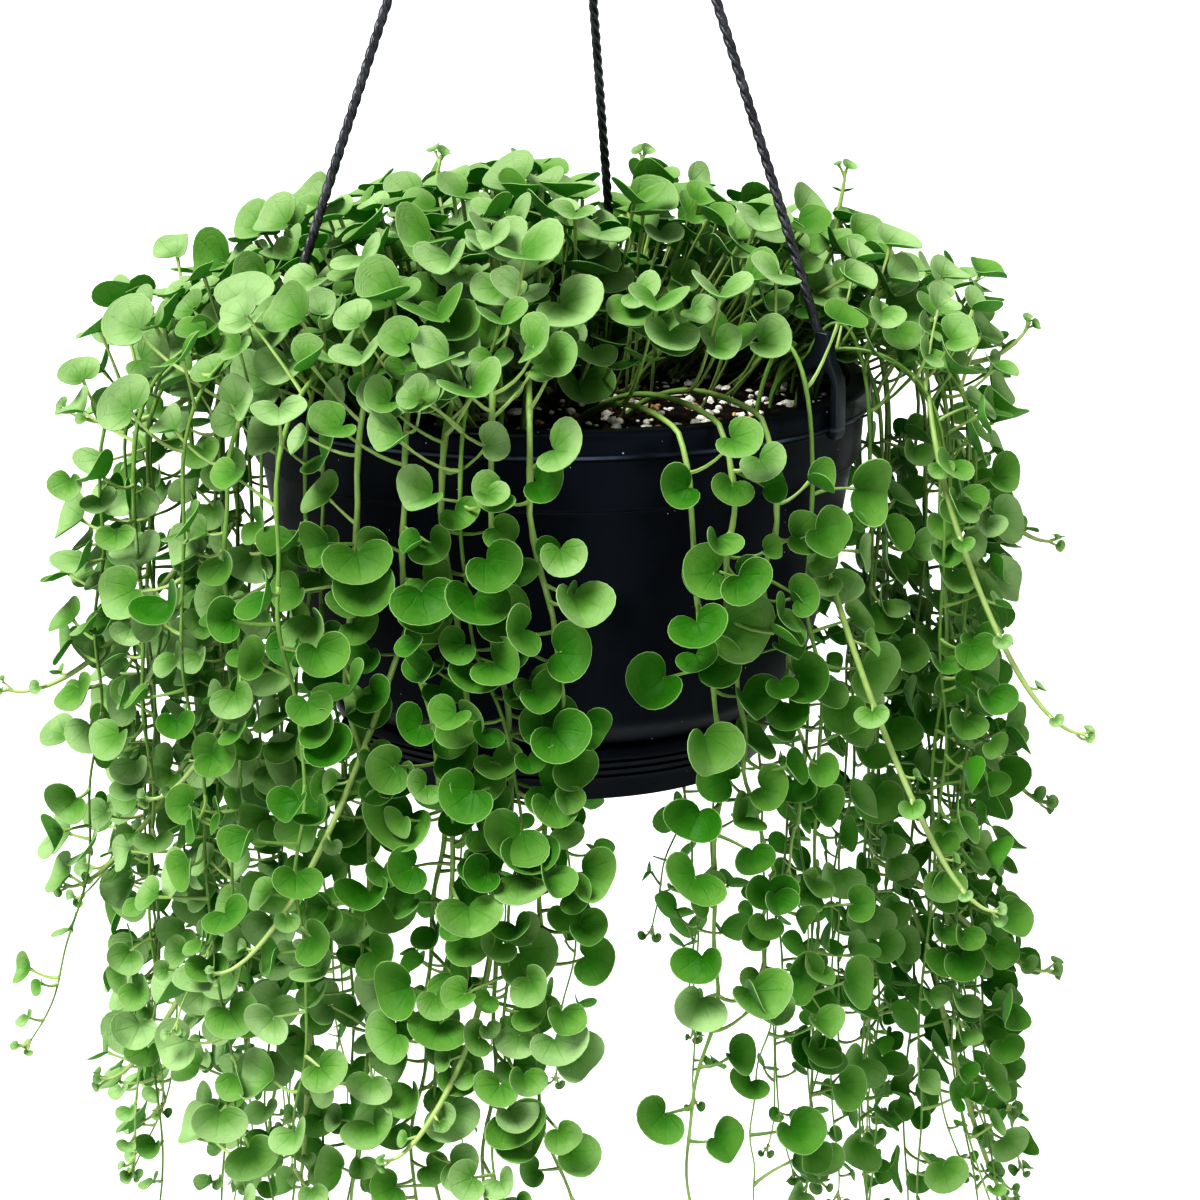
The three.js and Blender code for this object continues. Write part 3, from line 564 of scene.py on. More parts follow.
class Bench:
    """Modelling with operators: primitives, selections, edit-mode steps and applied modifiers."""

    @staticmethod
    def start(name: str, add: Callable[..., object], **settings: object) -> Piece:
        """Adds one primitive with nothing else selected.

        Args:
            name: The new object's name.
            add: The operator that adds it.
            **settings: The operator's settings.

        Returns:
            The new object.
        """
        bpy.ops.object.select_all(action="DESELECT")
        add(**settings)
        piece = bpy.context.active_object
        piece.name = name
        piece.data.name = name
        return piece

    @staticmethod
    def only(piece: Piece) -> None:
        """Selects one object alone and makes it the active one."""
        bpy.ops.object.select_all(action="DESELECT")
        piece.select_set(True)
        bpy.context.view_layer.objects.active = piece

    @staticmethod
    @contextmanager
    def editing(piece: Piece) -> Iterator[None]:
        """Edit mode on one piece, with all of it selected at the start."""
        Bench.only(piece)
        bpy.ops.object.mode_set(mode="EDIT")
        bpy.ops.mesh.select_mode(type="FACE")
        bpy.ops.mesh.select_all(action="SELECT")
        yield
        bpy.ops.object.mode_set(mode="OBJECT")

    @staticmethod
    def pick(piece: Piece, test: Callable[[Vector, Vector], bool]) -> None:
        """Selects the faces that pass a test, in edit mode.

        Args:
            piece: The object in edit mode.
            test: Is given a face's centre and normal.
        """
        bpy.ops.mesh.select_all(action="DESELECT")
        shape = bmesh.from_edit_mesh(piece.data)
        for face in shape.faces:
            face.select_set(test(face.calc_center_median(), face.normal))
        bmesh.update_edit_mesh(piece.data)

    @staticmethod
    def raise_ring(rise: float, factor: float) -> None:
        """Extrudes the selected faces along Z and scales them about the axis."""
        move = {"value": (0.0, 0.0, rise), "orient_type": "GLOBAL"}
        bpy.ops.mesh.extrude_region_move(TRANSFORM_OT_translate=move)
        bpy.ops.transform.resize(value=(factor, factor, 1.0), center_override=(0.0, 0.0, 0.0))

    @staticmethod
    def apply(piece: Piece, kind: str, **settings: object) -> None:
        """Adds a modifier and applies it.

        Args:
            piece: The object.
            kind: The modifier's type.
            **settings: Its properties.
        """
        Bench.only(piece)
        modifier = piece.modifiers.new(kind.lower(), kind)
        for key, value in settings.items():
            setattr(modifier, key, value)
        bpy.ops.object.modifier_apply(modifier=modifier.name)

    @staticmethod
    def settle(piece: Piece, angle: float = 32.0) -> Piece:
        """Merges doubles, turns the faces outwards, shades the piece and puts its place in its mesh.

        Args:
            piece: The object.
            angle: Edges sharper than this many degrees stay crisp.

        Returns:
            The same object.
        """
        with Bench.editing(piece):
            bpy.ops.mesh.remove_doubles(threshold=2e-6)
            bpy.ops.mesh.normals_make_consistent(inside=False)
        bpy.ops.object.transform_apply(location=True, rotation=True, scale=True)
        bpy.ops.object.shade_smooth_by_angle(angle=angle * DEGREE)
        return piece

    @staticmethod
    def points(piece: Piece) -> np.ndarray:
        """The vertices' places as rows."""
        flat = np.empty(3 * len(piece.data.vertices))
        piece.data.vertices.foreach_get("co", flat)
        return flat.reshape(-1, 3)

    @staticmethod
    def faces(piece: Piece) -> tuple[np.ndarray, np.ndarray]:
        """The vertex at each face corner, and how many corners each face has."""
        corners = np.empty(len(piece.data.loops), dtype=np.int32)
        piece.data.loops.foreach_get("vertex_index", corners)
        sizes = np.empty(len(piece.data.polygons), dtype=np.int32)
        piece.data.polygons.foreach_get("loop_total", sizes)
        return corners, sizes

    @staticmethod
    def reshape(piece: Piece, rule: Callable[[np.ndarray], np.ndarray]) -> None:
        """Moves all vertices by a formula on their places as rows."""
        piece.data.vertices.foreach_set("co", rule(Bench.points(piece)).ravel())
        piece.data.update()

    @staticmethod
    def join(pieces: Sequence[Piece]) -> Piece:
        """Joins objects into the first of them."""
        Bench.only(pieces[0])
        for piece in pieces[1:]:
            piece.select_set(True)
        bpy.ops.object.join()
        return pieces[0]

    @staticmethod
    def turned(name: str, profile: Profile, segments: int = 128) -> Piece:
        """Raises a round solid ring by ring from the disc at its foot.

        Args:
            name: The object's name.
            profile: Radius and height in millimetres, from the foot's disc to the last one.
            segments: Sides of each ring.

        Returns:
            The solid.
        """
        radius, height = profile[0]
        piece = Bench.start(
            name, bpy.ops.mesh.primitive_circle_add, vertices=segments, radius=radius * MM,
            fill_type="NGON", location=(0.0, 0.0, (height - HANG_HEIGHT) * MM),
        )
        with Bench.editing(piece):
            for (before, low), (after, high) in pairwise(profile):
                Bench.raise_ring((high - low) * MM, after / before)
        bpy.ops.object.transform_apply(location=True)
        return piece


def seat(piece: Piece, slot: Slot, node: str | None) -> Piece:
    """Lets a finished piece ride with the basket.

    Args:
        piece: The piece.
        slot: The record's slot of its finish; not used.
        node: The node that it stands for, if any.

    Returns:
        The piece.
    """
    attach(piece, "root")
    if node:
        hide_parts(node)
    return piece


def rounded(points: Profile, radii: Sequence[float], steps: int = 4) -> Profile:
    """A profile with its corners rounded.

    Args:
        points: The corners.
        radii: How far from each corner its round begins; 0 keeps it sharp.
        steps: Lines in each round.

    Returns:
        The profile with curved corners.
    """
    made: Profile = [points[0]]
    for before, corner, after, cut in zip(points, points[1:], points[2:], radii[1:]):
        if cut <= 0:
            made.append(corner)
            continue
        start, end = (
            tuple(c + (o - c) * min(0.5, cut / math.dist(corner, other)) for c, o in zip(corner, other))
            for other in (before, after)
        )
        for i in range(steps + 1):
            t = i / steps
            near, over, far = (1 - t) ** 2, 2 * t * (1 - t), t * t
            made.append(tuple(near * s + over * c + far * e for s, c, e in zip(start, corner, end)))
    made.append(points[-1])
    return made


@dataclass
class Holder:
    """The pot, its tray, the clips, the strands and the hub with its hook."""

    pot_finish: Finish
    clip_finish: Finish
    cord_finish: Finish
    segments: int = 144
    source_sides: int = 36
    pole: float = 2.0
    step_height: float = -30.0
    drain_radius: float = 5.0
    drain_distance: float = 55.0
    drill_depth: float = 9.0
    groove_heights: tuple[float, ...] = (-135.2, -138.6, -142.0)
    groove_depth: float = 0.9
    groove_width: float = 1.5
    panel_from: float = -41.0
    panel_to: float = -13.0
    ear_azimuth: float = 205.0
    clip_width: float = 7.0
    clip_leg: float = 3.4
    clip_bevel: float = 1.45
    strand_radius: float = 2.1
    strand_from: float = 0.004
    strand_share: float = 0.99
    strand_step: float = 1.25
    ply_pitch: float = 16.0
    ply_groove: float = 0.5
    ply_lobe: float = 0.46
    ply_fade: float = 7.0
    smooth_end: float = 17.0
    end_flare: float = 0.32
    end_slim: float = 0.88
    hub_radius: float = 13.0
    hub_bottom: float = 304.0
    hub_top: float = 322.0
    hook_radius: float = 3.2
    hook_inside: float = 10.0

    def pot(self) -> Piece:
        """The pot: tapered wall, stepped rim band with a bead at its foot, and a floor with drain holes."""
        outside = [
            (90, -POT_DEPTH), (98, -119), (104, -100), (113, -62), (118, -31.6), (119.2, -30.6),
            (121, self.step_height),
        ]
        band = [
            (122.3, -11.6), (124.4, -10.4), (125.15, -9.9), (125.15, -8.9), (124.7, -8.2), (RIM_RADIUS, -2),
            (123.4, 0), (116.4, 0), (115, -4),
        ]
        floor = WALL - POT_DEPTH
        inside = [(114, -31), (110.8, -62), (101.8, -100), (94.8, -119), (85.8, floor), (self.pole, floor)]
        cuts = [0, 3, 4, 4, 1, 0.5, 0.9, 0.8, 0.4, 0.3, 0.3, 0.4, 2.4, 1.4, 1.4, 2, 3, 3, 3, 3, 3, 0]
        piece = Bench.turned("pot_shell", rounded([*outside, *band, *inside], cuts), self.segments)
        drill = Bench.start(
            "drill", bpy.ops.mesh.primitive_cylinder_add, vertices=24, radius=self.drain_radius * MM,
            depth=self.drill_depth * MM, location=place((self.drain_distance, 0, -POT_DEPTH)),
        )
        bpy.ops.object.transform_apply(location=True)
        for turn in (45, 90, 90, 90):
            Bench.reshape(drill, lambda p, turn=turn: p @ spin(turn * DEGREE))
            Bench.apply(piece, "BOOLEAN", operation="DIFFERENCE", object=drill, solver="EXACT")
        bpy.data.objects.remove(drill)
        return self._dress(Bench.settle(piece), self.pot_finish, Slot.POT, "pot")

    def tray(self) -> Piece:
        """The drip tray: grooved side with a plain panel at the front right and a small ear."""
        top = -POT_DEPTH - GAP
        foot = top - TRAY_HEIGHT
        low = (TRAY_RADIUS - 7, foot + 8)
        marks = sorted(h + s * self.groove_width / 2 for h in self.groove_heights for s in (-1, 1))
        slope = 6 / (TRAY_HEIGHT - 13)
        side = [(low[0] + (h - foot - 8) * slope, h) for h in marks]
        corners = [
            (TRAY_RADIUS - 10, foot), low, *side, (TRAY_RADIUS - 1, top - 5), (TRAY_RADIUS - 1.2, top - 1.4),
            (TRAY_RADIUS - 4.2, top), (TRAY_RADIUS - 6.2, top), (TRAY_RADIUS - 9, foot + 8),
            (TRAY_RADIUS - 13, foot + TRAY_WALL), (self.pole, foot + TRAY_WALL),
        ]
        cuts = [0, 2] + [0] * len(marks) + [2, 1, 1, 0.8, 2, 2, 0]
        piece = Bench.turned("tray_dish", rounded(corners, cuts, 3), self.segments)

        def in_groove(centre: Vector, normal: Vector) -> bool:
            """Tells whether an outer face lies in a groove and off the plain panel."""
            height = centre.z / MM + HANG_HEIGHT
            azimuth = math.atan2(centre.y, centre.x) / DEGREE
            faces_out = normal.x * centre.x + normal.y * centre.y > 0
            outer = math.hypot(centre.x, centre.y) / MM > TRAY_RADIUS - 9
            near = any(abs(height - groove) < 0.4 * self.groove_width for groove in self.groove_heights)
            return outer and faces_out and near and not self.panel_from < azimuth < self.panel_to

        with Bench.editing(piece):
            bpy.ops.mesh.normals_make_consistent(inside=False)
            Bench.pick(piece, in_groove)
            Bench.raise_ring(0.0, 1 - self.groove_depth / TRAY_RADIUS)
        Bench.settle(piece, 40.0)
        ear = Bench.start(
            "ear", bpy.ops.mesh.primitive_torus_add, major_segments=28, minor_segments=10,
            major_radius=5.4 * MM, minor_radius=1.5 * MM,
        )
        turn = self.ear_azimuth * DEGREE
        out, over, tall = np.array(outward(turn)), np.array(sideways(turn)), np.array([0, 0, 1.25])
        middle = np.array(place(out * (TRAY_RADIUS - 3.0) + np.array([0.0, 0.0, top - 9.0])))
        Bench.reshape(ear, lambda p: middle + p[:, :1] * out + p[:, 1:2] * tall + p[:, 2:] * over)
        Bench.settle(ear)
        return self._dress(Bench.join([piece, ear]), self.pot_finish, Slot.POT, "drip_tray")

    def strand(self, side: str, azimuth: float) -> Piece:
        """A strand of three plies laid as a right-hand twist, smooth and round at both ends.

        Args:
            side: The strand's name.
            azimuth: Its direction from the axis, in radians.

        Returns:
            The strand.
        """
        foot = np.array(strand_point(azimuth, self.strand_from))
        head = np.array(strand_point(azimuth, self.strand_from + self.strand_share))
        length = float(np.linalg.norm(head - foot))
        steps = int(length / self.strand_step)
        piece = Bench.start(
            f"cord_{side}", bpy.ops.mesh.primitive_circle_add, vertices=30, radius=1.0, fill_type="NOTHING"
        )
        turns = length / self.ply_pitch
        Bench.apply(
            piece, "SCREW", axis="Z", angle=-2 * math.pi * turns, screw_offset=length, steps=steps,
            render_steps=steps, use_smooth_shade=True,
        )

        def laid(points: np.ndarray) -> np.ndarray:
            """Shapes the straight twisted rod into three plies along the strand's line."""
            run = points[:, 2]
            bearing = np.arctan2(points[:, 1], points[:, 0])
            turn = bearing + 2 * math.pi * run / self.ply_pitch
            ends = np.clip(np.minimum(run - self.smooth_end, length - run) / self.ply_fade, 0.0, 1.0)
            lobes = self.ply_groove + self.ply_lobe * np.abs(np.cos(1.5 * turn)) ** 0.7
            flare = 1 + self.end_flare * np.clip(1 - run / (0.6 * self.smooth_end), 0.0, 1.0) ** 2
            radius = self.strand_radius * (ends * lobes + (1 - ends) * self.end_slim) * flare
            t = self.strand_from + self.strand_share * run / length
            line = np.array([place(strand_point(azimuth, float(v))) for v in t])
            along = (head - foot) / length
            over = np.array(sideways(azimuth))
            up = np.cross(along, over)
            across = np.cos(bearing)[:, None] * over + np.sin(bearing)[:, None] * up
            return line + across * radius[:, None] * MM

        with Bench.editing(piece):
            bpy.ops.mesh.select_mode(type="EDGE")
            bpy.ops.mesh.select_all(action="DESELECT")
            bpy.ops.mesh.select_non_manifold()
            bpy.ops.mesh.edge_face_add()
        Bench.reshape(piece, laid)
        return self._dress(Bench.settle(piece, 60.0), self.cord_finish, Slot.CORD, f"strand_{side}")

    def clip(self, side: str, azimuth: float) -> Piece:
        """A clip: a rounded arch over the rim, with a toe under the band and a neck for the strand.

        Args:
            side: The clip's name.
            azimuth: Its direction from the axis, in radians.

        Returns:
            The clip.
        """
        inner = (RIM_RADIUS - RIM_WIDTH) * math.cos(math.pi / self.source_sides) - GAP
        outer = RIM_RADIUS + GAP
        leg, below = self.clip_leg, -BAND_HEIGHT - GAP
        middle, half = (inner + outer) / 2, (outer - inner) / 2
        arch = [(middle + half * math.cos(a), 8 + half * math.sin(a)) for a in np.linspace(math.pi, 0, 15)]
        crown = [
            (outer + leg, 5.5), (outer + leg - 0.4, 9.5), (outer + leg - 1.9, 13.2),
            (outer + leg - 3.8, 16.4), (124.4, 19.5), (123.7, 23.5), (123.3, 27.0), (118.4, 27.6),
            (117.6, 23.5), (116.2, 20.0), (114.0, 17.4), (inner - leg + 1.3, 13.6),
            (inner - leg + 0.3, 11.0), (inner - leg, 8),
        ]
        outline = [
            (inner - leg, MIX_TOP + 0.6), (inner, MIX_TOP + 0.6), *arch, (outer, below),
            (outer - 1.6, below - 0.2), (outer - 1.2, -BAND_HEIGHT - 3),
            (outer + leg - 1.0, -BAND_HEIGHT - 4.2), (outer + leg, -BAND_HEIGHT - 1.5), *crown,
        ]
        piece = Bench.start(
            f"rim_clip_{side}", bpy.ops.mesh.primitive_circle_add, vertices=len(outline), radius=1.0,
            fill_type="NGON",
        )
        flat = np.array([[r, z, -self.clip_width / 2] for r, z in outline])
        Bench.reshape(piece, lambda p: flat)
        with Bench.editing(piece):
            move = {"value": (0.0, 0.0, self.clip_width), "orient_type": "GLOBAL"}
            bpy.ops.mesh.extrude_region_move(TRANSFORM_OT_translate=move)
            bpy.ops.mesh.select_all(action="SELECT")
            bpy.ops.mesh.normals_make_consistent(inside=False)
        Bench.apply(
            piece, "BEVEL", width=self.clip_bevel, segments=4, limit_method="ANGLE",
            angle_limit=40 * DEGREE, use_clamp_overlap=True,
        )
        out, over = np.array(outward(azimuth)), np.array(sideways(azimuth))

        def stood(points: np.ndarray) -> np.ndarray:
            """Stands the flat clip in its radial plane and narrows it towards the strand."""
            slim = 1 - 0.3 * np.clip((points[:, 1:2] - 14) / 12, 0.0, 1.0)
            up = (points[:, 1:2] - HANG_HEIGHT) * np.array([0.0, 0.0, 1.0])
            return (points[:, :1] * out + up - points[:, 2:] * slim * over) * MM

        Bench.reshape(piece, stood)
        return self._dress(Bench.settle(piece, 30.0), self.clip_finish, Slot.POT, f"clip_{side}")

    def hook(self) -> Piece:
        """The hub that gathers the strands, with the hook that carries the basket."""
        corners = [
            (self.hub_radius - 1.5, self.hub_bottom), (self.hub_radius, self.hub_bottom + 2),
            (self.hub_radius - 0.8, self.hub_bottom + 7), (self.hub_radius - 3, self.hub_bottom + 11),
            (self.hook_radius + 2, self.hub_top), (1, self.hub_top),
        ]
        hub = Bench.settle(Bench.turned("hub", rounded(corners, [0, 1.2, 2, 3, 1.5, 0], 5), 64))
        middle = HANG_HEIGHT - self.hook_inside
        bend = self.hook_inside + self.hook_radius
        over_hub = [(0, self.hub_top - 6), (0, self.hub_top + 2), (-bend * 0.55, self.hub_top + 11)]
        shank = [*over_hub, (-bend, middle - 4)]
        arch = [(bend * math.cos(a), middle + bend * math.sin(a)) for a in np.linspace(math.pi, 0, 9)]
        route = [*shank, *arch, (bend + 0.8, middle - 4), (bend + 1.6, middle - 8)]
        line = bpy.data.curves.new("hook_line", "CURVE")
        line.dimensions = "3D"
        line.bevel_depth = self.hook_radius * MM
        line.bevel_resolution = 6
        line.resolution_u = 6
        line.use_fill_caps = True
        spline = line.splines.new("NURBS")
        spline.points.add(len(route) - 1)
        for knot, (x, z) in zip(spline.points, route):
            knot.co = (*place((x, 0, z)), 1.0)
        spline.use_endpoint_u = True
        spline.order_u = 3
        rod = bpy.data.objects.new("hook_rod", line)
        bpy.context.collection.objects.link(rod)
        Bench.only(rod)
        bpy.ops.object.convert(target="MESH")
        rod = bpy.context.active_object
        Bench.settle(rod)
        return self._dress(Bench.join([hub, rod]), self.pot_finish, Slot.POT, "hub_hook")

    @staticmethod
    def _dress(piece: Piece, finish: Finish, slot: Slot, node: str) -> Piece:
        """Gives a piece its finish and puts it in the place of its node.

        Args:
            piece: The finished mesh.
            finish: Its material.
            slot: The record's slot of that finish.
            node: The node that it stands for.

        Returns:
            The piece.
        """
        piece.data.materials.clear()
        piece.data.materials.append(finish)
        return seat(piece, slot, node)

    def build(self) -> Iterator[Piece]:
        """Builds the holder's pieces in order."""
        yield self.pot()
        yield self.tray()
        for side, degrees in STRAND_ANGLES.items():
            yield self.clip(side, degrees * DEGREE)
            yield self.strand(side, degrees * DEGREE)
        yield self.hook()


@dataclass
class Leaf:
    """One leaf: its petiole's foot, its notch, and how its blade lies."""

    foot: Point
    notch: Point
    facing: Point
    pointing: Point
    width: float
    carried: bool
    centre: Point
    # How old the leaf looks, with painted shade added for where it hangs.
    age: float = 0.5
    key: int = 0

    @staticmethod
    def grown(
        foot: Point, direction: Point, length: float, normal: Point, heading: Point, width: float
    ) -> "Leaf":
        """A leaf from its petiole and the ways that it faces and points.

        Args:
            foot: Where the petiole leaves the stem.
            direction: The petiole's direction.
            length: The petiole's length.
            normal: The way the blade's upper side faces.
            heading: The way its tip points, before it is laid in the blade's plane.
            width: The blade's width.

        Returns:
            The leaf.
        """
        notch = plus(foot, direction, length)
        facing = unit(normal)
        pointing = unit(plus(heading, facing, -dot(heading, facing)))
        below = dot(direction, facing)
        behind = dot(direction, pointing)
        aside = abs(dot(direction, cross(pointing, facing)))
        carried = below > 0.08 and behind > -0.1 and below + behind > 0.6 and aside < 0.3 + 0.7 * below
        centre = plus(notch, pointing, NOTCH_TO_CENTRE * width)
        return Leaf(foot, notch, facing, pointing, width, carried, centre)

    @staticmethod
    def between(foot: Point, notch: Point, normal: Point, heading: Point, width: float) -> "Leaf":
        """A leaf whose petiole runs from its foot to a given notch."""
        run = plus(notch, foot, -1)
        return Leaf.grown(foot, unit(run), math.sqrt(dot(run, run)), normal, heading, width)

    def stalk(self) -> Point:
        """A point past the middle of the petiole."""
        return plus(self.foot, plus(self.notch, self.foot, -1), 0.6)

    def beside(self, other: "Leaf") -> bool:
        """Tells whether the two blades lie clear of each other."""
        return math.dist(self.centre, other.centre) > 0.45 * (self.width + other.width)


@dataclass
class Plan:
    """Where a trailing stem hangs, in degrees and millimetres."""

    azimuth: float
    reach: float
    drop: float
    drift: float
    flare: float
    kick: float
    lift: float
    leaf: float


@dataclass
class Stem:
    """A trailing stem: up from the mix, over the rim and down."""

    index: int
    azimuth: float
    root: float
    shoulder: float
    rise: float
    skew: float
    drop: float
    flare: float
    kick: float
    lift: float
    drift: float
    wave: float
    waves: float
    phase: float
    leaf: float
    lean: float = 0.0
    behind: float = 0.0
    first: float = 0.0
    last: float = 2.0

    SHOULDER_HEIGHT = -26.0
    ROOTED = (-0.6, 0.85, -0.25)

    @staticmethod
    def grown(index: int, plan: Plan, attempt: int) -> "Stem":
        """The numbers of one stem; a later attempt moves it clear of its neighbours.

        Args:
            index: The stem's number.
            plan: Where it hangs.
            attempt: How many tries came before.

        Returns:
            The stem.
        """
        return Stem(
            index=index, azimuth=(plan.azimuth + 0.7 * attempt * swing(index, 1, attempt)) * DEGREE,
            root=mix(84, 104, draw(index, 2)), shoulder=RIM_RADIUS + (plan.reach + 3 * attempt),
            rise=mix(22, 44, draw(index, 3)), skew=5 * DEGREE * swing(index, 4), drop=plan.drop,
            flare=plan.flare, kick=plan.kick, lift=plan.lift, drift=plan.drift * DEGREE,
            wave=mix(3, 9, draw(index, 5)), waves=mix(4, 9, draw(index, 6)),
            phase=2 * math.pi * draw(index, 7), leaf=plan.leaf,
        )

    def point(self, u: float) -> Point:
        """The stem's centre line: u 0 at the mix, 1 at the shoulder, 2 at the tip."""
        if u < 1:
            v = 1 - u
            weights = (v * v * v, 3 * v * v * u, 3 * v * u * u, u * u * u)
            radii = (self.root, self.root + 4, self.shoulder, self.shoulder)
            heights = (MIX_TOP, MIX_TOP + self.rise, self.rise * 1.1, self.SHOULDER_HEIGHT)
            radius = sum(weight * value for weight, value in zip(weights, radii))
            z = sum(weight * value for weight, value in zip(weights, heights))
            return polar(radius, self.azimuth + self.skew * v * v, z)
        v = u - 1
        radius = self.shoulder + self.flare * v + self.kick * v**4
        wave = self.wave * math.sin(v * self.waves + self.phase) - self.wave * math.sin(self.phase)
        azimuth = self.azimuth + self.drift * v + wave / self.shoulder
        z = self.SHOULDER_HEIGHT - (self.drop + self.SHOULDER_HEIGHT) * v + self.lift * v**6
        return polar(radius, azimuth, z)

    def fine(self, u: float) -> Point:
        """The finer stem's centre line, which wanders a little more between its leaves."""
        here = self.point(u)
        azimuth = math.atan2(here[1], here[0])
        calm = smooth((u - 0.95) / 0.25)
        side = 2.3 * math.sin(17 * u + self.phase) + 0.9 * math.sin(41 * u + 3 * self.phase)
        out = 1.6 * math.sin(23 * u + 5 * self.phase)
        lean = self.lean * smooth((u - 0.2) / 0.4) * smooth((1.7 - u) / 0.5)
        rooted = self.behind * (1 - min(u, 1.0)) ** 1.4
        inside = min(u / 0.8, 1.0)
        sunk = 1.75 * self.rise * inside * inside * (1 - inside) if self.behind else 0.0
        return blend(
            (here, 1.0),
            (sideways(azimuth), side * calm + lean),
            (outward(azimuth), out * calm),
            (self.ROOTED, rooted),
            (UP, -sunk),
        )

    def stops(self) -> list[float]:
        """Where the source's leaves stand along the stem."""
        hanging = math.floor(self.drop / 74 + 0.5)
        spots = [k + 0.32 + 0.2 * swing(self.index, 8, k) for k in range(hanging)]
        return [0.4, 0.78, *(1 + 0.985 * (spot / (hanging - 0.48)) for spot in spots)]

    def stations(self) -> list[float]:
        """The stem's stations: every leaf, and three more where it arches over the rim."""
        return sorted([0.2, 0.6, 1.0, *self.stops()])


def on_strand(side: str, t: float) -> Point:
    """A point of the straight line from a strand's foot, t 0, to the hub, t 1."""
    return strand_point(STRAND_ANGLES[side] * DEGREE, t, 0.0)


@dataclass
class Sector:
    """A stretch of the rim and the stems that hang from it."""

    start: float
    end: float
    stems: int
    drop: float
    reach: tuple[float, float]
    leaf: float


@dataclass
class Growth:
    """Places stems and leaves: the source's first, by the same rule, then the finer ones."""

    sectors: tuple[Sector, ...] = (
        Sector(148, 234, 11, 395, (12, 38), 20),
        Sector(316, 388, 9, 395, (12, 36), 20),
        Sector(34, 144, 9, 400, (10, 30), 19),
    )
    front: tuple[Plan, ...] = (
        Plan(239, 17, 350, -2, 2, 0, 0, 21),
        Plan(246, 12, 330, 1, 2, 0, 0, 22),
        Plan(253, 18, 352, 2, 2, 0, 0, 22),
        Plan(260, 13, 356, -2, 2, 0, 0, 23),
        Plan(266, 17, 325, 5, 2, 0, 0, 24),
        Plan(291, 10, 330, 1, 2, 0, 0, 24),
        Plan(298, 12, 216, 4, 2, 0, 0, 22),
        Plan(305, 15, 172, 6, 2, 0, 0, 21),
    )
    fillers: tuple[Sector, ...] = (
        Sector(147, 236, 12, 396, (8, 46), 20.5),
        Sector(336, 388, 10, 396, (8, 42), 20.5),
        Sector(34, 146, 4, 400, (8, 36), 18),
    )
    thin_one: Plan = field(default_factory=lambda: Plan(256, 20, 338, 6, 3, 0, 0, 21))
    before_pot: tuple[int, int] = (31, 37)
    longer: tuple[tuple[int, float], ...] = ((35, 2.85), (36, 2.9))
    longer_from: float = 1.97
    core_radius: float = 62.0
    core_height: float = 34.0
    core_forward: float = 12.0
    crown_leaves: int = 72
    tries: int = 14
    clip_clearance: float = 7.5
    petiole_room: float = 1.25
    stem_room: float = 1.7
    strand_room: float = 4.3
    clip_room: float = 17.0
    lean_at_clip: tuple[int, float] = (11, -9.5)
    rooted_back: tuple[int, float] = (34, 56.0)
    light_from_front: float = 0.55
    canopy: int = 440
    understory: int = 508
    mound_tries: int = 8
    spacing: float = 12.0
    thinned: tuple[tuple[float, float, float], ...] = ((237, 272, 9.0), (272, 312, 14.0), (50, 130, 19.5))
    window: tuple[float, float, float] = (-24.0, 112.0, 6.0)
    window_slant: float = 0.5
    light_slope: tuple[float, float] = (0.46, 0.44)
    open_views: tuple[tuple[Point, Point, float], ...] = (
        (on_strand("right", -0.1), on_strand("right", 0.06), 7.5),
        (on_strand("right", 0.0), on_strand("right", 0.4), 4.0),
        (on_strand("left", 0.09), on_strand("left", 0.4), 3.0),
        (on_strand("back", 0.13), on_strand("back", 0.4), 2.0),
        ((24.0, -122.0, -14.0), (34.0, -92.0, -150.0), 9.0),
    )
    heroes: tuple[tuple[int, float, float, float, float], ...] = (
        (34, 44.0, -20.5, 16.5, 205),
        (35, 62.0, -22.5, 17.0, 250),
        (35, 78.0, -19.0, 14.0, 20),
        (34, 51.5, -54.0, 17.5, 215),
        (35, 69.5, -55.5, 18.0, 330),
        (36, 91.5, -62.0, 15.5, 10),
        (34, 35.5, -94.5, 23.5, 225),
        (34, 59.0, -86.0, 21.0, 0),
        (36, 92.5, -95.5, 21.0, 335),
        (33, 5.0, -76.5, 24.0, 350),
        (33, -4.5, -15.0, 16.5, 330),
        (33, 0.0, -41.0, 16.0, 250),
    )
    balls: list[tuple[Point, float]] = field(default_factory=list)
    capsules: list[tuple[Point, Point, float, int]] = field(default_factory=list)
    stems: list[Stem] = field(default_factory=list)
    crown: list[Leaf] = field(default_factory=list)
    sprays: dict[int, list[Leaf]] = field(default_factory=dict)
    filler_stems: list[Stem] = field(default_factory=list)

    def plans(self) -> list[Plan]:
        """Every stem's plan, sector by sector, then those in front of the pot."""
        made: list[Plan] = []
        for sector in self.sectors:
            for i in range(sector.stems):
                made.append(self._sector_plan(sector, i, len(made)))
        made += [Plan(**vars(plan)) for plan in self.front]
        for plan in made:
            self._clear_of_clips(plan)
        return made

    @staticmethod
    def _sector_plan(sector: Sector, i: int, seed: int) -> Plan:
        """The plan of a sector's stem number i, with seed as its random key."""
        outer = i % 2
        return Plan(
            azimuth=mix(sector.start, sector.end, (i + 0.5 + 0.2 * swing(seed, 30)) / sector.stems),
            reach=sector.reach[outer] + 4 * swing(seed, 31),
            drop=sector.drop * mix(0.6 if outer else 0.84, 1, draw(seed, 32)), drift=3 * swing(seed, 33),
            flare=6 * swing(seed, 34), kick=mix(0, 40, draw(seed, 35)) if outer else 0.0,
            lift=mix(0, 16, draw(seed, 36)) if outer else 0.0,
            leaf=sector.leaf * mix(0.9, 1.1, draw(seed, 37)),
        )

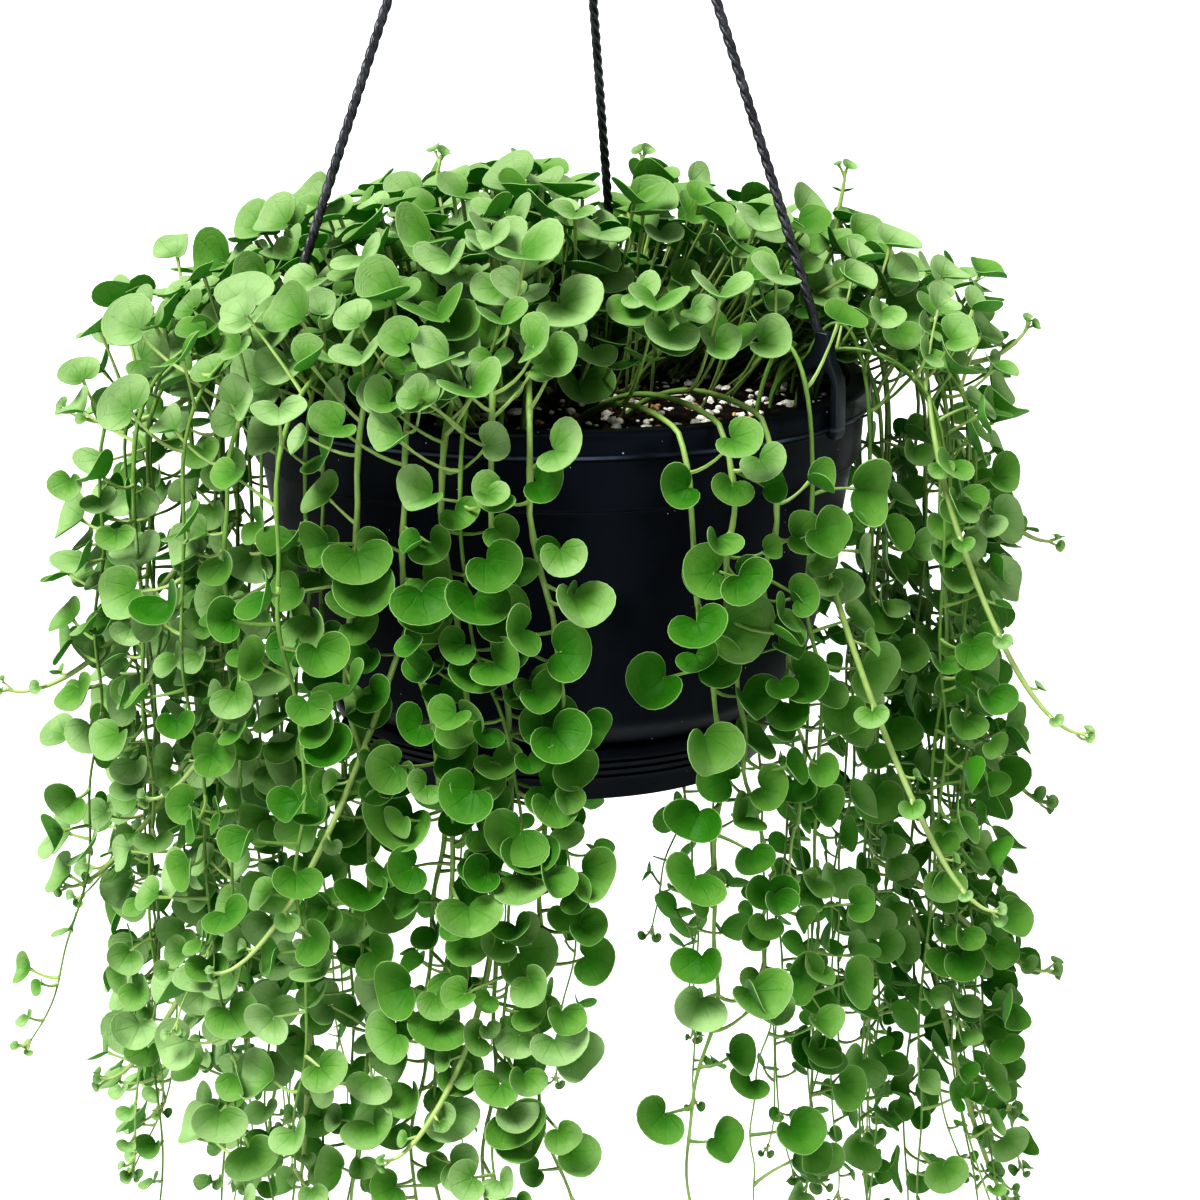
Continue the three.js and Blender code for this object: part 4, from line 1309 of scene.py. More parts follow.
    def _clear_of_clips(self, plan: Plan) -> None:
        """Moves a plan sideways until it is clear of every clip."""
        for angle in STRAND_ANGLES.values():
            aside = ((plan.azimuth - angle + 540) % 360) - 180
            if abs(aside) < self.clip_clearance:
                plan.azimuth += math.copysign(self.clip_clearance, aside) - aside

    def stem_leaf(self, stem: Stem, k: int, u: float, attempt: int) -> Leaf:
        """One try at a leaf on a stem: upright in the crown, facing out in the curtain.

        Args:
            stem: The stem.
            k: The leaf's number on it.
            u: Where it stands.
            attempt: How many tries came before.

        Returns:
            The leaf.
        """
        foot = stem.point(u)
        azimuth = math.atan2(foot[1], foot[0])
        crown = smooth((foot[2] + 45) / 55)
        young = smooth((u - 1.72) / 0.28)
        side = 1 if (k + attempt) % 2 else -1
        sway = [swing(stem.index, 20 + k, axis, attempt) for axis in range(1, 7)]
        direction = unit(blend(
            (outward(azimuth), mix(0.75, 0.3, crown) + 0.4 * sway[0]),
            (sideways(azimuth), side * (mix(0.85, 0.4, crown) + 0.35 * sway[1])),
            (UP, mix(0.25, 1.1, crown) + 0.3 * sway[2]),
        ))
        length = mix(mix(10, 6, young), 27, crown) * (1 + 0.3 * sway[3]) + 1.2 * attempt
        normal = blend(
            (outward(azimuth + mix(1, 0.5, crown) * sway[4]), mix(0.8, 0.45, crown)),
            (FRONT, self.light_from_front * (1 - crown) * smooth((60 - foot[1]) / 80)),
            (UP, mix(0.4, 0.95, crown) + 0.2 * sway[5]),
        )
        heading = blend((direction, 0.6), (outward(azimuth), 0.3 * crown), (UP, mix(-0.5, -0.1, crown)))
        width = stem.leaf * (0.98 + 0.16 * sway[5]) * mix(1, 0.45, young)
        return Leaf.grown(foot, direction, length, normal, heading, width)

    def crown_leaf(self, k: int, attempt: int) -> Leaf:
        """One try at a leaf of the crown's middle, on a golden-angle spiral over the core.

        Args:
            k: The leaf's number.
            attempt: How many tries came before.

        Returns:
            The leaf.
        """
        azimuth = k * GOLDEN_ANGLE
        fall = math.acos(1 - 0.9 * ((k + 0.5) / self.crown_leaves))
        sway = [swing(CROWN, k, axis, attempt) for axis in range(1, 5)]
        facing = outward(azimuth)
        foot = blend(
            (facing, 0.84 * self.core_radius * math.sin(fall)),
            ((0.0, 1.0, 0.0), self.core_forward),
            (UP, MIX_TOP + 1.5 + 0.84 * self.core_height * math.cos(fall)),
        )
        direction = unit(blend(
            (facing, math.sin(fall) + 0.25 * sway[0]),
            (sideways(azimuth), 0.35 * sway[1]),
            (UP, 0.45 + math.cos(fall)),
        ))
        length = mix(15, 42, draw(CROWN_STALK, k, attempt))
        normal = blend((facing, 0.5 * math.sin(fall)), (sideways(azimuth), 0.3 * sway[2]), (UP, 1.0))
        heading = blend((facing, 1.0), (sideways(azimuth), 0.9 * sway[3]))
        return Leaf.grown(foot, direction, length, normal, heading, mix(17, 25, draw(CROWN_WIDTH, k)))

    def _clear_ball(self, centre: Point, radius: float) -> bool:
        """Tells whether a ball round a leaf is clear of the pot and of all that is placed."""
        z = centre[2]
        out = math.hypot(centre[0], centre[1])
        beside = z < radius + 2 and z > -TRAY_HEIGHT - POT_DEPTH - radius
        over_wall = out > RIM_RADIUS - RIM_WIDTH - 7
        in_mix = z < MIX_TOP + 0.6 * radius
        if beside and out < wall_radius(z) + radius and (over_wall or in_mix):
            return False
        for other, other_radius in self.balls:
            gap = plus(other, centre, -1)
            if dot(gap, gap) < (other_radius + radius) ** 2:
                return False
        return all(
            segment_distance(centre, centre, a, b) >= radius + thick for a, b, thick, _ in self.capsules
        )

    def _clear_capsule(self, a: Point, b: Point, radius: float, skip: int = -1) -> bool:
        """Tells whether a slim capsule is clear of all others but its own stem's, and of all balls."""
        for c, d, thick, owner in self.capsules:
            if owner != skip and segment_distance(a, b, c, d) < radius + thick:
                return False
        return all(segment_distance(centre, centre, a, b) >= radius + other for centre, other in self.balls)

    def _place_leaf(self, make: Callable[[int], Leaf], owner: int) -> Leaf | None:
        """Places the first try that is clear of everything, or no leaf."""
        for attempt in range(self.tries):
            leaf = make(attempt)
            if not leaf.carried:
                continue
            radius = 0.47 * leaf.width + 0.6
            if not self._clear_ball(leaf.centre, radius):
                continue
            if not self._clear_capsule(leaf.foot, leaf.notch, self.petiole_room, owner):
                continue
            self.balls.append((leaf.centre, radius))
            self.capsules.append((leaf.foot, leaf.notch, self.petiole_room, owner))
            return leaf
        return None

    def place_source(self) -> None:
        """Places the source's own stems and leaves."""
        for degrees in STRAND_ANGLES.values():
            azimuth = degrees * DEGREE
            foot, head = strand_point(azimuth, 0.0), strand_point(azimuth, 1.0)
            self.capsules.append((foot, head, self.strand_room, NOBODY))
            self.balls.append((polar(RIM_RADIUS - RIM_WIDTH / 2, azimuth, 8.0), self.clip_room))
        for index, plan in enumerate(self.plans()):
            for attempt in range(self.tries):
                stem = Stem.grown(index, plan, attempt)
                points = [stem.point(u) for u in (0.0, *stem.stations())]
                free = all(self._clear_capsule(a, b, self.stem_room) for a, b in pairwise(points))
                if free or attempt == self.tries - 1:
                    self.capsules += [(a, b, self.stem_room, index) for a, b in pairwise(points)]
                    self.stems.append(stem)
                    break
        leaning, lean = self.lean_at_clip
        self.stems[leaning].lean = lean
        first, behind = self.rooted_back
        for stem in self.stems[first:]:
            stem.behind = behind
        for k in range(self.crown_leaves):
            leaf = self._place_leaf(lambda attempt, k=k: self.crown_leaf(k, attempt), CROWN)
            if leaf:
                leaf.age = self._age(leaf, CROWN, k)
                self.crown.append(leaf)
        for stem in self.stems:
            spray = self.sprays.setdefault(stem.index, [])
            for k, u in enumerate(stem.stops()):
                leaf = self._place_leaf(
                    lambda attempt, k=k, u=u: self.stem_leaf(stem, k, u, attempt), stem.index
                )
                if leaf:
                    leaf.foot = stem.fine(u)
                    leaf.age = self._age(leaf, stem.index, k) * mix(1.0, 0.4, smooth((u - 1.8) / 0.2))
                    spray.append(leaf)

    @staticmethod
    def _age(leaf: Leaf, *keys: int) -> float:
        """How old a leaf looks, with painted shade: sage on the mound, deeper green low down, on the right
        away from the key light, before the pot and inside the curtain.
        """
        x, y, z = leaf.centre
        low = smooth((30 - z) / 190)
        inner = smooth((150 - math.hypot(x, y)) / 25) * smooth((-20 - z) / 60)
        aside = clamp(x / 300 + 0.5)
        front = smooth((-95 - y) / 30) * smooth((20 - z) / 60) * smooth((z + 230) / 80)
        # Painted shade: each weight darkens leaves where less light falls; the low term is partly the real
        # deeper green of older leaves.
        shade = 0.3 * low * mix(0.1, 0.85, aside) + 0.12 * inner + 0.12 * aside + 0.45 * front
        return clamp(shade + 0.56 * draw(*keys, 70) - 0.1)

    def fill(self) -> None:
        """Adds the finer leaves and stems between the source's own, less those that close a view."""
        self.crown = [leaf for leaf in self.crown if self._in_view(leaf)]
        shown = [self._hero(k, *numbers) for k, numbers in enumerate(self.heroes)]
        for index in range(*self.before_pot):
            self.sprays[index] = [
                leaf for leaf in self.sprays[index]
                if self._in_view(leaf) and all(leaf.beside(other) for other in shown)
            ]
        for leaf, (index, *_) in zip(shown, self.heroes):
            self.sprays[index].append(leaf)
        crowd = Crowd([leaf for spray in self.sprays.values() for leaf in spray] + self.crown)
        self._fill_crown(crowd)
        seed = FIRST_FILLER
        for index, last in self.longer:
            longer = replace(self.stems[index], index=seed, first=self.longer_from, last=last)
            self.filler_stems.append(longer)
            seed += 1
        self.filler_stems.append(Stem.grown(seed, self.thin_one, 0))
        seed += 1
        for sector in self.fillers:
            for i in range(sector.stems):
                plan = self._sector_plan(sector, i, seed)
                plan.drop = sector.drop * mix(0.8, 1, draw(seed, 32))
                plan.drift *= 2.5
                plan.kick *= 0.7
                self._clear_of_clips(plan)
                self.filler_stems.append(Stem.grown(seed, plan, 0))
                seed += 1
        for stem in [*self.stems, *self.filler_stems]:
            bearing = stem.azimuth / DEGREE % 360
            spacing = next((gap for start, end, gap in self.thinned if start < bearing < end), self.spacing)
            self._fill_stem(stem, crowd, spacing)

    def _hero(self, number: int, index: int, x: float, z: float, width: float, turn: float) -> Leaf:
        """A leaf placed before the pot from the given list.

        Args:
            number: Its number.
            index: The stem that it hangs from.
            x: Its centre's x.
            z: Its centre's height.
            width: Its width.
            turn: Where its tip points in the front view, in degrees from the right, anticlockwise.

        Returns:
            The leaf.
        """
        stem = self.stems[index]
        share = (stem.SHOULDER_HEIGHT - z - 6) / (stem.drop + stem.SHOULDER_HEIGHT)
        foot = stem.fine(1 + share)
        pointing = (math.cos(turn * DEGREE), 0.0, math.sin(turn * DEGREE))
        normal = blend((FRONT, 1.0), (UP, 0.45), ((1.0, 0.0, 0.0), 0.3 * swing(HAND_PLACED, number)))
        back = NOTCH_TO_CENTRE * width
        notch = (x - back * pointing[0], foot[1] - 5, z - back * pointing[2])
        leaf = Leaf.between(foot, notch, normal, pointing, width)
        # Deep green, like the painted shade given to leaves before the pot.
        leaf.age = 0.68 + 0.3 * draw(HAND_PLACED_AGE, number)
        leaf.key = HAND_PLACED_KEYS + number
        return leaf

    def _first_free(self, tried: Iterator[Leaf], crowd: "Crowd", key: int) -> Leaf | None:
        """Adds the first leaf that is carried, hides nothing and cuts no other.

        Args:
            tried: The tries, in order.
            crowd: All leaves placed so far.
            key: Its number for the draws of its shape and tint.

        Returns:
            The leaf, or none if all tries fail.
        """
        for leaf in tried:
            if leaf.carried and self._in_view(leaf) and crowd.free(leaf):
                leaf.key = key
                crowd.add(leaf)
                return leaf
        return None

    def _fill_stem(self, stem: Stem, crowd: "Crowd", spacing: float) -> None:
        """Adds leaves along a stem.

        Args:
            stem: The stem.
            crowd: All leaves placed so far.
            spacing: Millimetres between leaves.
        """
        spray = self.sprays.setdefault(stem.index, [])
        u, k = max(0.72, stem.first + 0.03), 60
        while u < stem.last - 0.015:
            tried = (self._side_leaf(stem, k, u, attempt) for attempt in range(self.tries))
            leaf = self._first_free(tried, crowd, stem.index * 97 + k)
            if leaf:
                young = smooth((u - stem.last + 0.2) / 0.2)
                leaf.age = self._age(leaf, stem.index, k) * mix(1.0, 0.35, young)
                spray.append(leaf)
            lower = mix(0.9, 1.35, smooth((u - 1.25) / 0.75))
            step = spacing * mix(0.6, 1.4, draw(stem.index, k, 72)) * lower
            u += step / (stem.drop + stem.SHOULDER_HEIGHT) if u > 1 else step / 90
            k += 1

    @staticmethod
    def _side_leaf(stem: Stem, k: int, u: float, attempt: int) -> Leaf:
        """One try at a finer leaf on a stem, turned more freely than the source's.

        Args:
            stem: The stem.
            k: The leaf's number on it.
            u: Where it stands.
            attempt: How many tries came before.

        Returns:
            The leaf.
        """
        foot = stem.fine(u)
        azimuth = math.atan2(foot[1], foot[0])
        crown = smooth((foot[2] + 45) / 55)
        young = smooth((u - stem.last + 0.3) / 0.3)
        side = 1 if (k + attempt) % 2 else -1
        sway = [swing(stem.index, 20 + k, axis, attempt) for axis in range(1, 9)]
        direction = unit(blend(
            (outward(azimuth), 0.55 + 0.45 * sway[0]),
            (sideways(azimuth), side * 0.8 + 0.4 * sway[1]),
            (UP, mix(0.15, 1.0, crown) + 0.45 * sway[2]),
        ))
        length = mix(mix(14, 6, young), 24, crown) * (1 + 0.45 * sway[3])
        normal = blend(
            (outward(azimuth + 1.1 * sway[4]), 0.75),
            (FRONT, 0.35 + 0.3 * sway[6]),
            (UP, mix(0.45, 0.9, crown) + 0.5 * sway[5]),
        )
        heading = blend(
            (direction, 0.6),
            (sideways(azimuth), 0.5 * sway[7]),
            (UP, mix(-0.45, -0.1, crown) + 0.3 * sway[1]),
        )
        width = stem.leaf * mix(0.68, 1.12, draw(stem.index, k, 71)) * mix(1, 0.5, young) * 0.965**attempt
        return Leaf.grown(foot, direction, length, normal, heading, width)

    def _fill_crown(self, crowd: "Crowd") -> None:
        """Adds the mound's leaves on long petioles."""
        for k in range(self.canopy + self.understory):
            tried = (self._mound_leaf(k, attempt) for attempt in range(self.mound_tries))
            leaf = self._first_free(tried, crowd, MOUND_KEYS + k)
            if leaf:
                # Leaves under the canopy are 0.3 deeper green: painted shade under the canopy.
                leaf.age = clamp(self._age(leaf, MOUND, k) + (0.3 if k >= self.canopy else 0.0))
                self.crown.append(leaf)

    def _mound_leaf(self, k: int, attempt: int) -> Leaf:
        """One try at a leaf of the mound: the canopy first, then the shaded leaves below it.

        Args:
            k: The leaf's number on the spiral.
            attempt: How many tries came before.

        Returns:
            The leaf.
        """
        low = k >= self.canopy
        share = (k - self.canopy + 0.5) / self.understory if low else (k + 0.5) / self.canopy
        azimuth = k * GOLDEN_ANGLE + 0.25 * swing(MOUND, k, 1, attempt)
        radius = (122 if low else 158) * math.sqrt(share)
        x = radius * math.cos(azimuth)
        y = 8 + 0.96 * radius * math.sin(azimuth)
        roof = 76 - 20 * (radius / 130) ** 2 - 0.75 * max(0.0, radius - 118)
        rise = draw(MOUND, k, 2, attempt)
        notch = (x, y, roof * (mix(0.1, 0.55, rise) if low else mix(0.55, 1.0, rise**0.7)))
        out = math.atan2(y, x)
        near = math.hypot(x, y)
        inside = min(0.66 * near + 8 * swing(MOUND, k, 3), 104.0)
        foot = polar(inside, out + 0.22 * swing(MOUND, k, 4), MIX_TOP - 2)
        back = self.window[2] + self.window_slant * foot[0]
        if self.window[0] < foot[0] < self.window[1] and foot[1] < back:
            back += 6 + 34 * draw(MOUND, k, 5)
            foot = polar(min(math.hypot(foot[0], back), 106.0), math.atan2(back, foot[0]), foot[2])
        sway = [swing(MOUND_TURN, k, axis, attempt) for axis in range(1, 6)]
        normal = blend(
            (outward(out), 0.1 + 0.5 * near / 130 + 0.4 * sway[0]),
            (sideways(out), 0.45 * sway[1]),
            (FRONT, 0.3 + 0.3 * sway[3]),
            (UP, 0.95),
        )
        heading = blend((outward(out), 0.7), (sideways(out), 1.2 * sway[2]), (FRONT, 0.4), (UP, -0.2))
        width = mix(16, 26, draw(MOUND_WIDTH, k)) * 0.97**attempt
        return Leaf.between(foot, notch, normal, heading, width)

    def _in_view(self, leaf: Leaf) -> bool:
        """Tells whether a leaf keeps the mix's front lit and the mix, pot, clip and strands in view."""
        left, right, back = self.window
        drop = 0.5 * leaf.width * math.sqrt(max(0.0, 1 - leaf.facing[2] ** 2))
        for spot in (plus(leaf.centre, UP, -drop), leaf.stalk(), leaf.notch):
            if spot[2] > MIX_TOP + 2 and spot[1] < 60:
                reach = (EYE[2] - MIX_TOP) / (EYE[2] - spot[2])
                x, y = (EYE[i] + (spot[i] - EYE[i]) * reach for i in (0, 1))
                if left < x < right and -100 < y < back + self.window_slant * x:
                    return False
        x, y = (leaf.centre[i] + self.light_slope[i] * (leaf.centre[2] - MIX_TOP) for i in (0, 1))
        lit = left + 40 < x < right - 20 and -84 < y < back - 34 + self.window_slant * x
        if leaf.centre[2] > 0 and lit:
            return False
        for a, b, room in self.open_views:
            if leaf.centre[1] > max(a[1], b[1]) + 6:
                continue
            for spot, size in ((leaf.centre, 0.48 * leaf.width), (leaf.stalk(), 0.0)):
                flat = [
                    tuple((v[i] - EYE[i]) / (v[1] - EYE[1]) * -EYE[1] for i in (0, 2)) for v in (a, b, spot)
                ]
                (ax, az), (bx, bz), (cx, cz) = flat
                t = clamp(((cx - ax) * (bx - ax) + (cz - az) * (bz - az)) / ((bx - ax) ** 2 + (bz - az) ** 2))
                if math.hypot(cx - mix(ax, bx, t), cz - mix(az, bz, t)) < size + room:
                    return False
        return True


def wall_radius(z: float) -> float:
    """The pot's outer radius at a height, with a little to spare."""
    return RIM_RADIUS + 2 if z > -12 else RIM_RADIUS + 2.5 + 0.235 * z


class Crowd:
    """All blades placed so far, as thin discs that new ones must not cut."""

    MOST = 6000
    LEFT, RIGHT, FRONT_EDGE, BACK_EDGE, BOTTOM = -214, 194, -169, 192, -392

    def __init__(self, leaves: Sequence[Leaf]) -> None:
        """Starts with the given leaves."""
        self.count = 0
        self.centres = np.zeros((self.MOST, 3))
        self.facings = np.zeros((self.MOST, 3))
        self.widths = np.zeros(self.MOST)
        for leaf in leaves:
            self.add(leaf)

    def add(self, leaf: Leaf) -> None:
        """Takes a leaf in."""
        self.centres[self.count] = leaf.centre
        self.facings[self.count] = leaf.facing
        self.widths[self.count] = leaf.width
        self.count += 1

    def free(self, leaf: Leaf) -> bool:
        """Tells whether a new blade is clear of the pot and cuts no other blade."""
        x, y, z = leaf.centre
        if not (self.LEFT < x < self.RIGHT and self.FRONT_EDGE < y < self.BACK_EDGE and z > self.BOTTOM):
            return False
        out = math.hypot(x, y)
        tilt = (leaf.facing[0] * x + leaf.facing[1] * y) / max(out, 1.0)
        half = 0.5 * leaf.width
        span = half * math.sqrt(max(0.0, 1 - tilt * tilt)) + 1.5
        drop = half * math.sqrt(max(0.0, 1 - leaf.facing[2] ** 2))
        floor = -TRAY_HEIGHT - POT_DEPTH
        if floor < z + drop and z - drop < 1.5 and out - span < wall_radius(min(z + drop, 0.0)):
            if out > RIM_RADIUS - RIM_WIDTH - 10 or z - drop < MIX_TOP + 1:
                return False
        gaps = self.centres[: self.count] - np.array(leaf.centre)
        facings = self.facings[: self.count]
        above = np.abs(np.einsum("ij,ij->i", gaps, facings))
        over = np.abs(gaps @ np.array(leaf.facing))
        apart = np.linalg.norm(gaps, axis=1)
        lean = np.sqrt(np.clip(1 - (facings @ np.array(leaf.facing)) ** 2, 0, 1))
        reach = 0.44 * (self.widths[: self.count] + leaf.width)
        thick = 2.0 + 0.4 * half * lean
        return not bool(np.any((apart < reach) & (np.minimum(above, over) < thick)))


@dataclass
class Blade:
    """A leaf blade modelled once: a kidney outline drawn up into a funnel, in leaf widths."""

    funnel: float
    fold: float
    wave: float
    curl: float
    turn: float
    thickness: float = 0.016

    MIDDLE = (0.0, 0.21)
    INNER_RING = 0.62
    OUTLINE = (
        (0, 0), (0.055, -0.085), (0.14, -0.155), (0.25, -0.18), (0.36, -0.145), (0.445, -0.06),
        (0.495, 0.06), (0.5, 0.19), (0.46, 0.32), (0.38, 0.435), (0.27, 0.52), (0.14, 0.57), (0, 0.585),
    )

    def height(self, x: np.ndarray, y: np.ndarray) -> np.ndarray:
        """The upper side's height at a place on the blade."""
        bowl = np.sqrt(x**2 + (y - 0.08) ** 2 + 0.02) - 0.141
        ripple = np.cos(3 * np.arctan2(x, y - 0.2) + self.turn) * (x**2 + (y - 0.2) ** 2)
        lobe = 2 * np.maximum(x * np.sign(self.curl), 0) ** 2
        crease = np.sqrt(x**2 + 0.004) - 0.063
        return self.funnel * bowl + self.fold * crease + abs(self.curl) * lobe + self.wave * ripple

    def model(self) -> "Shape":
        """Models the blade and reads it back."""
        sides = 2 * (len(self.OUTLINE) - 1)
        piece = Bench.start(
            "blade", bpy.ops.mesh.primitive_circle_add, vertices=sides, radius=0.5, fill_type="TRIFAN"
        )
        with Bench.editing(piece):
            bpy.ops.mesh.inset(thickness=0.17)
        half = [np.array(p) for p in self.OUTLINE]
        edge = np.array([*half, *[p * (-1, 1) for p in half[-2:0:-1]]])

        def shaped(points: np.ndarray) -> np.ndarray:
            """Turns the disc's rings into the kidney-shaped outline and its inner ring."""
            centre = np.array(self.MIDDLE)
            radius = np.hypot(points[:, 0], points[:, 1])
            turn = np.arctan2(points[:, 0], -points[:, 1]) % (2 * math.pi)
            number = np.round(turn / (2 * math.pi) * sides).astype(int) % sides
            share = np.where(radius < 0.05, 0.0, np.where(radius > 0.45, 1.0, self.INNER_RING))
            flat = centre + (edge[number] - centre) * share[:, None]
            return np.column_stack([flat, self.height(flat[:, 0], flat[:, 1])])

        Bench.reshape(piece, shaped)
        upper = Bench.points(piece)
        outline = [np.min(np.hypot(*(edge - p[:2]).T)) < 1e-4 for p in upper]
        Bench.apply(piece, "SOLIDIFY", thickness=self.thickness, offset=-1.0)
        points = Bench.points(piece)
        loops, sizes = Bench.faces(piece)
        tints = np.zeros((len(points), 4))
        tints[:, 2] = [*outline, *outline]
        tints[len(upper):, 3] = 1.0
        bpy.data.objects.remove(piece)
        return Shape(points, tints, loops, sizes, points[loops][:, :2])


@dataclass
class Shape:
    """A closed shape: its points in millimetres, its colours and its faces.

    The tints are how old it looks with painted shade, chance, margin and underside at each point, the loops
    are the faces' corners, the sizes are how many corners each face has, and the places are the corners'
    places on a blade.
    """

    points: np.ndarray
    tints: np.ndarray
    loops: np.ndarray
    sizes: np.ndarray
    places: np.ndarray

    @staticmethod
    def plain(points: np.ndarray, loops: np.ndarray, sizes: np.ndarray) -> "Shape":
        """A shape with no tint and no place on a blade."""
        return Shape(points, np.zeros((len(points), 4)), loops, sizes, np.zeros((len(loops), 2)))


class Weave:
    """A mesh under construction: blades, petioles and stems gathered into one piece."""

    BLADE, STALK = 0, 1

    def __init__(self) -> None:
        """Starts with nothing."""
        self.shapes: list[Shape] = []
        self.kinds: list[np.ndarray] = []
        self.count = 0

    def add(self, shape: Shape, kind: int) -> None:
        """Adds one closed shape.

        Args:
            shape: The shape, whose loops count from its own first point.
            kind: Its material's number.
        """
        self.shapes.append(replace(shape, loops=shape.loops + self.count))
        self.kinds.append(np.full(len(shape.sizes), kind, dtype=np.int32))
        self.count += len(shape.points)

    def _all(self, name: str) -> np.ndarray:
        """One array of all shapes, end to end."""
        return np.concatenate([getattr(shape, name) for shape in self.shapes])

    def tube(self, route: np.ndarray, radii: np.ndarray, sides: int, ages: np.ndarray) -> None:
        """Adds a closed green tube along a line.

        Args:
            route: The centre line's points.
            radii: The radius at each.
            sides: Sides of its section.
            ages: How old it looks at each point; a petiole's also carry its leaf's painted shade.
        """
        along = np.gradient(route, axis=0)
        along /= np.linalg.norm(along, axis=1)[:, None]
        across = np.cross(along[0], (0.31, 0.17, 0.93))
        turns = np.linspace(0, 2 * math.pi, sides, endpoint=False)
        rings = []
        for spot, way, radius in zip(route, along, radii):
            across = across - way * np.dot(across, way)
            across /= np.linalg.norm(across)
            over = np.cross(way, across)
            rings.append(spot + radius * (np.cos(turns)[:, None] * across + np.sin(turns)[:, None] * over))
        points = np.concatenate(rings)
        count = len(route)
        near = np.arange(sides)
        after = (near + 1) % sides
        faces = [
            np.column_stack([near, after, sides + after, sides + near]) + i * sides
            for i in range(count - 1)
        ]
        ends = [near[::-1], (count - 1) * sides + near]
        loops = np.concatenate([np.concatenate(faces).ravel(), *ends]).astype(np.int32)
        sizes = np.concatenate([np.full((count - 1) * sides, 4), [sides, sides]]).astype(np.int32)
        made = Shape.plain(points, loops, sizes)
        made.tints[:, 0] = np.repeat(ages, sides)
        self.add(made, self.STALK)

    def build(self, name: str, materials: Sequence[Finish], angle: float = 55.0) -> Piece:
        """Makes the piece.

        Args:
            name: Its name.
            materials: Its materials by number.
            angle: Edges sharper than this many degrees stay crisp.

        Returns:
            The object, with its place in its mesh.
        """
        points = self._all("points")
        points[:, 2] -= HANG_HEIGHT
        loops = self._all("loops").astype(np.int32)
        sizes = self._all("sizes").astype(np.int32)
        mesh = bpy.data.meshes.new(name)
        mesh.vertices.add(len(points))
        mesh.vertices.foreach_set("co", (points * MM).ravel())
        mesh.loops.add(len(loops))
        mesh.loops.foreach_set("vertex_index", loops)
        mesh.polygons.add(len(sizes))
        starts = np.concatenate([[0], np.cumsum(sizes)[:-1]]).astype(np.int32)
        mesh.polygons.foreach_set("loop_start", starts)
        mesh.polygons.foreach_set("material_index", np.concatenate(self.kinds))
        mesh.update(calc_edges=True)
        mesh.uv_layers.new(name="blade").data.foreach_set("uv", self._all("places").ravel())
        tint = mesh.attributes.new("tint", "FLOAT_COLOR", "POINT")
        tint.data.foreach_set("color", self._all("tints").ravel())
        for material in materials:
            mesh.materials.append(material)
        piece = bpy.data.objects.new(name, mesh)
        bpy.context.collection.objects.link(piece)
        Bench.only(piece)
        bpy.ops.object.shade_smooth_by_angle(angle=angle * DEGREE)
        return piece


@dataclass
class Shoot:
    """A bare young shoot that swings clear of the curtain, with a curled tip."""

    start: Point
    end: Point
    sag: float = 0.25


